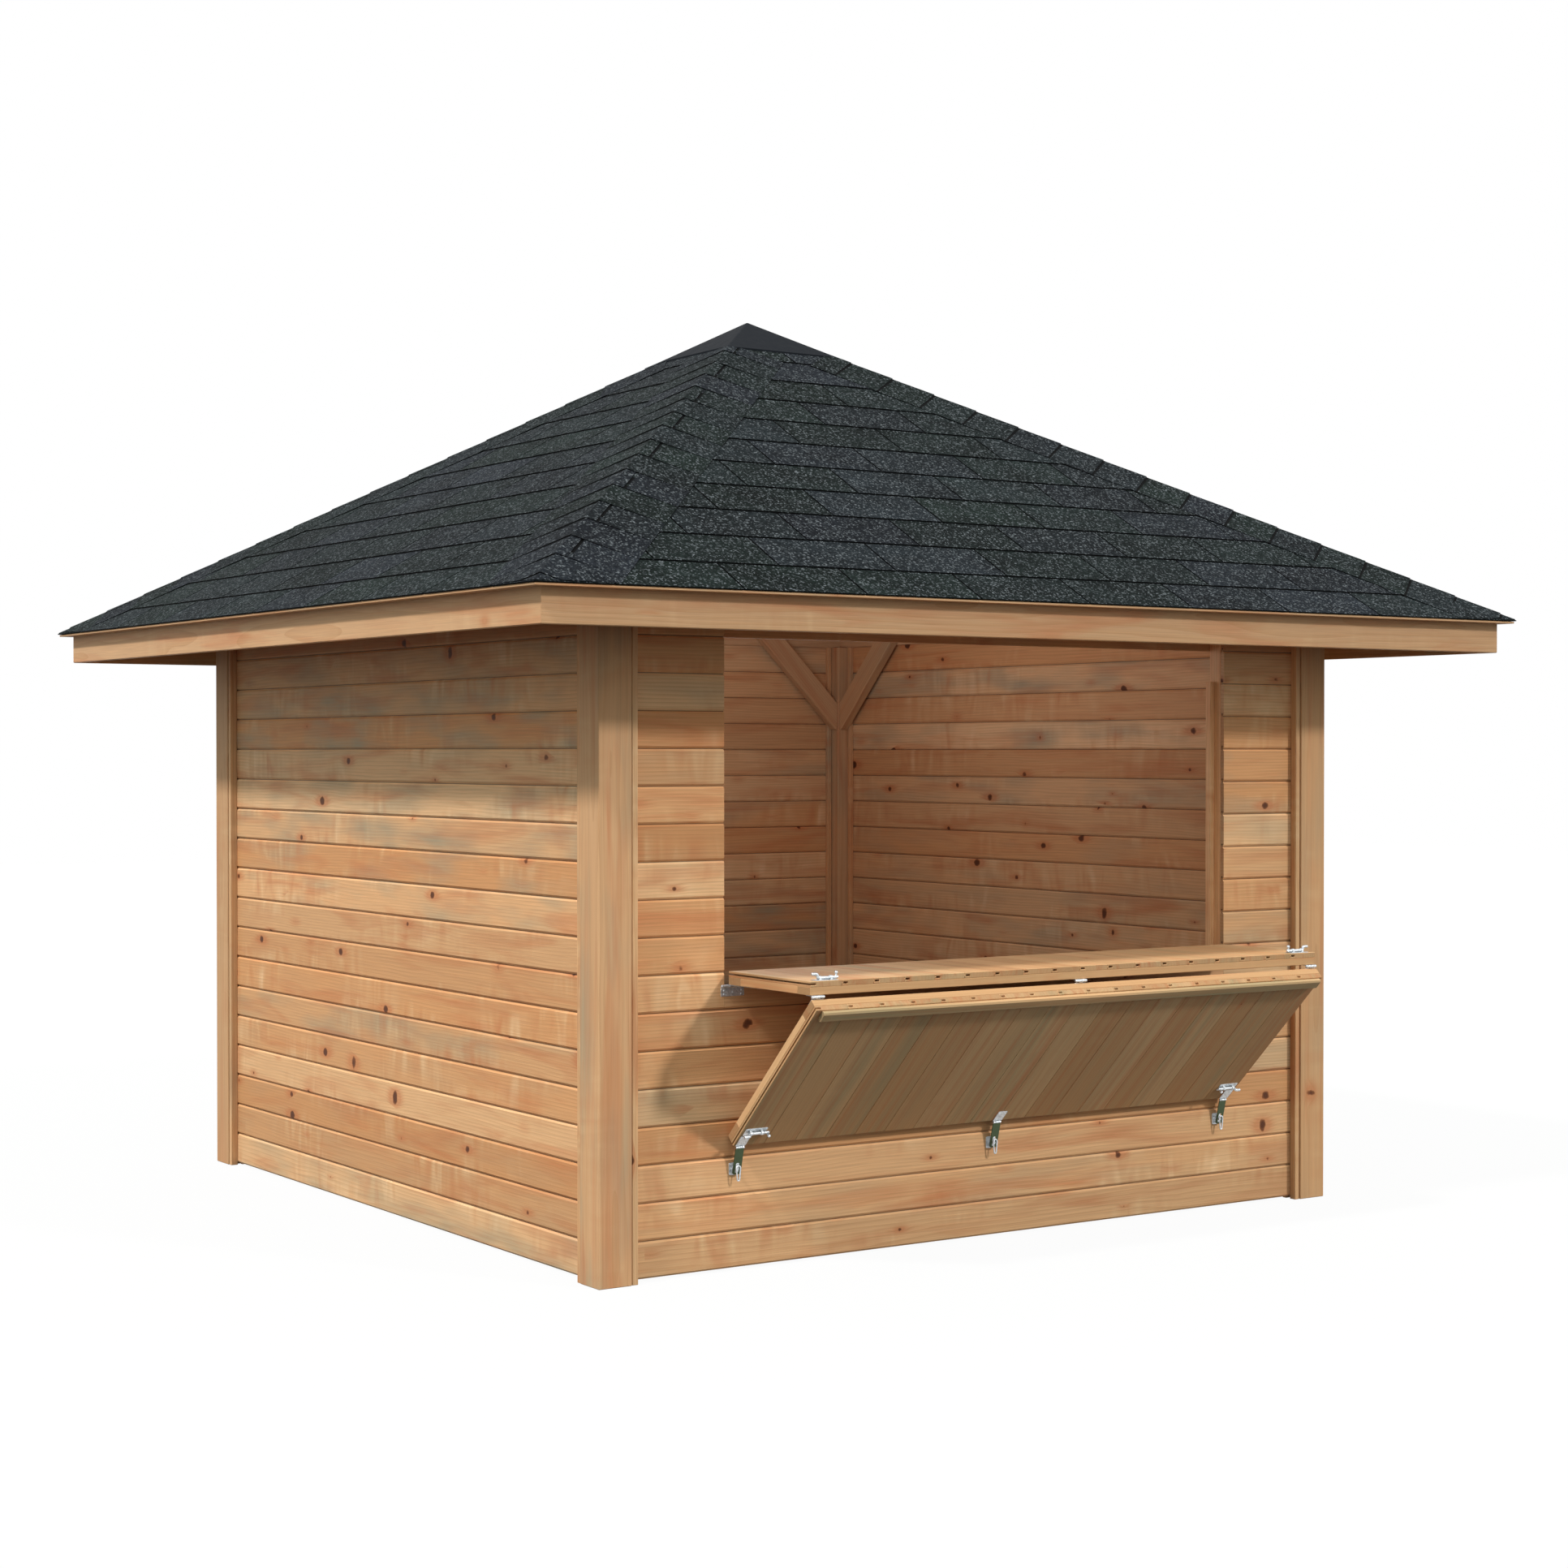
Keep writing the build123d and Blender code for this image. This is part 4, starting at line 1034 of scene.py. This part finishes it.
for a in (math.pi * i / 8 for i in range(9)):
    arch.append((archRadius * math.cos(a), rod + archRadius * math.sin(a)))
arch += [(-archRadius, archFoot), (-guideHalf, flangeTop), (-guideHalf, flangeLow), (guideHalf, flangeLow)]
knob, knobRise = boltLook["knob"], boltLook["knobRise"]
stem = [(0.0, boltLook["stem"][0]), (knobRise - knob, boltLook["stem"][1])]
for a in (math.pi * i / 10 for i in range(3, 10)):
    stem.append((knobRise - knob * math.cos(a), knob * math.sin(a)))
stem.append((knobRise + knob, boltLook["knobTip"]))
for seed, (leaf, (place, length)) in zip((610, 611), leaves.items()):
    kit = newKit(seed)
    inner, fromEdge = boltLook[leaf]
    outer, middle, crankAt = inner + width, inner + width / 2, inner + boltLook["crankReach"]
    path = [(inner - radius, 0, rod), (crankAt - bend, 0, rod), (crankAt - soft, 0, rod + soft),
            (crankAt, 0, rod + bend), (crankAt, 0, tipHeight - bend), (crankAt + soft, 0, tipHeight - soft),
            (crankAt + bend, 0, tipHeight), (inner + boltLook["reach"], 0, tipHeight)]
    insetX, insetY = (size / 2 - inset for size, inset in zip(boltLook["plate"], boltLook["screwInset"]))
    for hand in (-1, 1):
        here = place @ Matrix.Translation((0, fromEdge - leafLook["edgeGap"] - length, leafTop))
        here = here @ Matrix.Diagonal((hand, 1, 1, 1))
        addPlate(kit, here @ upward, roundedPlate(width, height, boltLook["corner"], middle), (0, thick))
        for sx in (-1, 1):
            for sy in (-1, 1):
                addScrew(kit, here, middle + sx * insetX, sy * insetY, thick)
        for x in (inner + width / 4, outer - width / 4):
            addPlate(kit, here @ Matrix.Translation((x, 0, 0)), arch, (-guideWidth / 2, guideWidth / 2))
        addRod(kit, here, path, radius)
        addTurned(kit, here @ axes((inner, 0, rod), zAxis, xAxis, yAxis), stem)
    makePiece(kit, leaf + "_bolts", zincSteel, leaf, 40)

# Hasps at the free edge of the drop leaf, and the turn-eye staples on the wall
haspLook = {"places": (-1.044, 0.0, 1.044), "plate": (0.038, 0.05), "corner": 0.004, "edge": 0.0005,
            "screws": ((-0.011, 0.013), (-0.011, 0.038), (0.011, 0.013), (0.011, 0.038)),
            "strap": (0.032, 0.092), "strapCorner": 0.009, "slot": (0.014, 0.034), "slotCorner": 0.005,
            "slotAt": 0.07, "thick": 0.0025, "angle": 31, "knuckle": 0.004, "rim": 0.0006, "tongue": 0.45,
            "tongueCorner": 0.0008, "knuckles": ((-0.016, -0.0076), (-0.007, 0.007), (0.0076, 0.016))}
place, length = leaves["drop_leaf"]
tipEdge, knuckle, thick = -leafLook["edgeGap"] - length, haspLook["knuckle"], haspLook["thick"]
(width, height), (strapWidth, strapLength) = haspLook["plate"], haspLook["strap"]
span = (leafTop, leafTop + thick)
plate = roundedPlate(width, height, haspLook["corner"], 0, tipEdge + height / 2)
tongue = roundedPlate(strapWidth * haspLook["tongue"], 2 * knuckle, haspLook["tongueCorner"], 0, tipEdge, 1)
outer = roundedPlate(strapWidth, strapLength, haspLook["strapCorner"], 0, -strapLength / 2, 5)
slotHole = roundedPlate(*haspLook["slot"], haspLook["slotCorner"], 0, -haspLook["slotAt"], 5)
strapTurn = Matrix.Rotation(math.radians(-haspLook["angle"]), 4, "X")
kit = newKit(620)
for x in haspLook["places"]:
    here = place @ Matrix.Translation((x, 0, 0))
    centre = here @ Matrix.Translation((0, tipEdge - knuckle, leafTop + knuckle))
    addPlate(kit, here @ upward, plate, span, haspLook["edge"])
    for sx, y in haspLook["screws"]:
        addScrew(kit, here, sx, tipEdge + y, leafTop + thick)
    addPlate(kit, here @ upward, tongue, span)
    for x0, x1 in haspLook["knuckles"]:
        addKnuckle(kit, centre, x0, x1, knuckle, haspLook["rim"])
    # cutFace 1 paints the strap dark olive: a painted reflection
    addFrame(kit, centre @ strapTurn @ upward, outer, slotHole, (-thick / 2, thick / 2), 1.0)
makePiece(kit, "hasps", zincSteel, "drop_leaf", 35)

stapleLook = {"height": 0.328, "plate": 0.04, "corner": 0.004, "edge": 0.0005, "thick": 0.002,
              "screws": 0.014, "reach": 0.027, "wire": 0.0025,
              "collar": (0.0068, 0.001, 0.005), "shank": (0.0046, 0.007, 0.023),  # radius, start and end
              "eyeTop": (0.004, 0.008), "eyeFoot": (-0.032, 0.004)}  # height and radius of the eye's two ends
kit = newKit(621)
reach, (collar, collarStart, collarEnd) = stapleLook["reach"], stapleLook["collar"]
shank, shankStart, shankEnd = stapleLook["shank"]
# teardrop eye turned down across the slot
(topAt, topRadius), (footAt, footRadius) = stapleLook["eyeTop"], stapleLook["eyeFoot"]
tilt = math.asin((topRadius - footRadius) / (topAt - footAt))
eye = []
for centre, radius, start, sweep in ((topAt, topRadius, -tilt, math.pi + 2 * tilt),
                                     (footAt, footRadius, math.pi + tilt, math.pi - 2 * tilt)):
    for a in (start + sweep * i / 10 for i in range(11)):
        eye.append((reach, radius * math.cos(a), centre + radius * math.sin(a)))
for x in haspLook["places"]:
    spot = (x, -wallFace, stapleLook["height"])
    here = axes(spot, -yAxis, xAxis, zAxis)
    addPlate(kit, here, roundedPlate(stapleLook["plate"], stapleLook["plate"], stapleLook["corner"]),
             (0, stapleLook["thick"]), stapleLook["edge"])
    for sx in (-1, 1):
        for sz in (-1, 1):
            addScrew(kit, axes(spot, xAxis, zAxis, -yAxis), sx * stapleLook["screws"],
                     sz * stapleLook["screws"], stapleLook["thick"])
    addTurned(kit, here, [(collarStart, collar), (collarEnd, collar), (shankStart, shank), (shankEnd, shank)])
    addRod(kit, here, eye + eye[:1], stapleLook["wire"], 10)
makePiece(kit, "hasp_staples", zincSteel, smooth=40)
print("fittings done")


# Floor, lamps, world and camera
def seenRays(tree):
    # 1 for what the camera sees, straight or in a reflection, and 0 for the light that falls on the kiosk
    rays = addNode(tree, "LightPath").outputs
    seen = addNode(tree, "Math", [rays["Is Camera Ray"], rays["Is Glossy Ray"]], operation="ADD")
    return addNode(tree, "Math", [seen, rays["Is Transmission Ray"]], operation="ADD", use_clamp=True)


stageLook = {"floor": "#323231", "floorGlow": 0.95, "size": 60, "world": 1.0, "sky": "#F1FAF8"}
floorMesh = bpy.data.meshes.new("floor")
half = stageLook["size"] / 2
floorCorners = [(-half, -half, 0), (half, -half, 0), (half, half, 0), (-half, half, 0)]
floorMesh.from_pydata(floorCorners, [], [(0, 1, 2, 3)])
linkObject("floor", floorMesh)
paperFloor, tree = newMaterial("paleFloor")
glow = addNode(tree, "Math", [seenRays(tree), stageLook["floorGlow"]], operation="MULTIPLY")
plain = addNode(tree, "BsdfDiffuse", {"Color": srgb(stageLook["floor"])})
lit = addNode(tree, "Emission", {"Color": (1, 1, 1, 1), "Strength": glow})
addNode(tree, "OutputMaterial", [addNode(tree, "AddShader", [plain, lit])])
floorMesh.materials.append(paperFloor)

world = bpy.data.worlds.new("studio")
bpy.context.scene.world = world
world.use_nodes = True
tree = world.node_tree
tree.nodes.clear()
fill = addNode(tree, "Background", {"Color": srgb(stageLook["sky"]), "Strength": stageLook["world"]})
white = addNode(tree, "Background", {"Color": (1, 1, 1, 1), "Strength": 1.0})
addNode(tree, "OutputWorld", [addNode(tree, "MixShader", [seenRays(tree), fill, white])])

# two soft keys: one from the left lights the side wall, one from the front right lights the hatch side
lampLook = {"leftKey": ((1.0, 0.18, -1.15), 2.78), "rightKey": ((-0.55, 1.0, -0.66), 1.58)}
lampSoftness = math.radians(5)
for name, (direction, strength) in lampLook.items():
    lamp = bpy.data.lights.new(name, "SUN")
    lamp.energy, lamp.angle = strength, lampSoftness
    linkObject(name, lamp).rotation_euler = Vector(direction).to_track_quat("-Z", "Y").to_euler()

# a soft lamp under the roof stands for the even light inside
roomLook = {"place": (0.0, 0.0, 2.0), "radius": 0.5, "power": 32, "colour": "#E4F0FF"}
room = bpy.data.lights.new("roomFill", "POINT")
room.energy = roomLook["power"]
room.color = srgb(roomLook["colour"])[:3]
room.shadow_soft_size = roomLook["radius"]
holder = linkObject("roomFill", room)
holder.location = roomLook["place"]
holder.visible_camera = False

cameraLook = {"place": (-5.6204, -8.6542, 1.6624), "heading": 33.796, "down": 0.687,
              "lens": 60.737, "sensor": 36}
camera = bpy.data.cameras.new("camera")
camera.sensor_width = cameraLook["sensor"]
camera.sensor_fit = "HORIZONTAL"
camera.lens = cameraLook["lens"]
holder = linkObject("camera", camera)
holder.location = cameraLook["place"]
holder.rotation_euler = (math.radians(90 - cameraLook["down"]), 0, math.radians(-cameraLook["heading"]))
bpy.context.scene.camera = holder
bpy.context.scene.view_settings.view_transform = "Standard"
print("stage done")
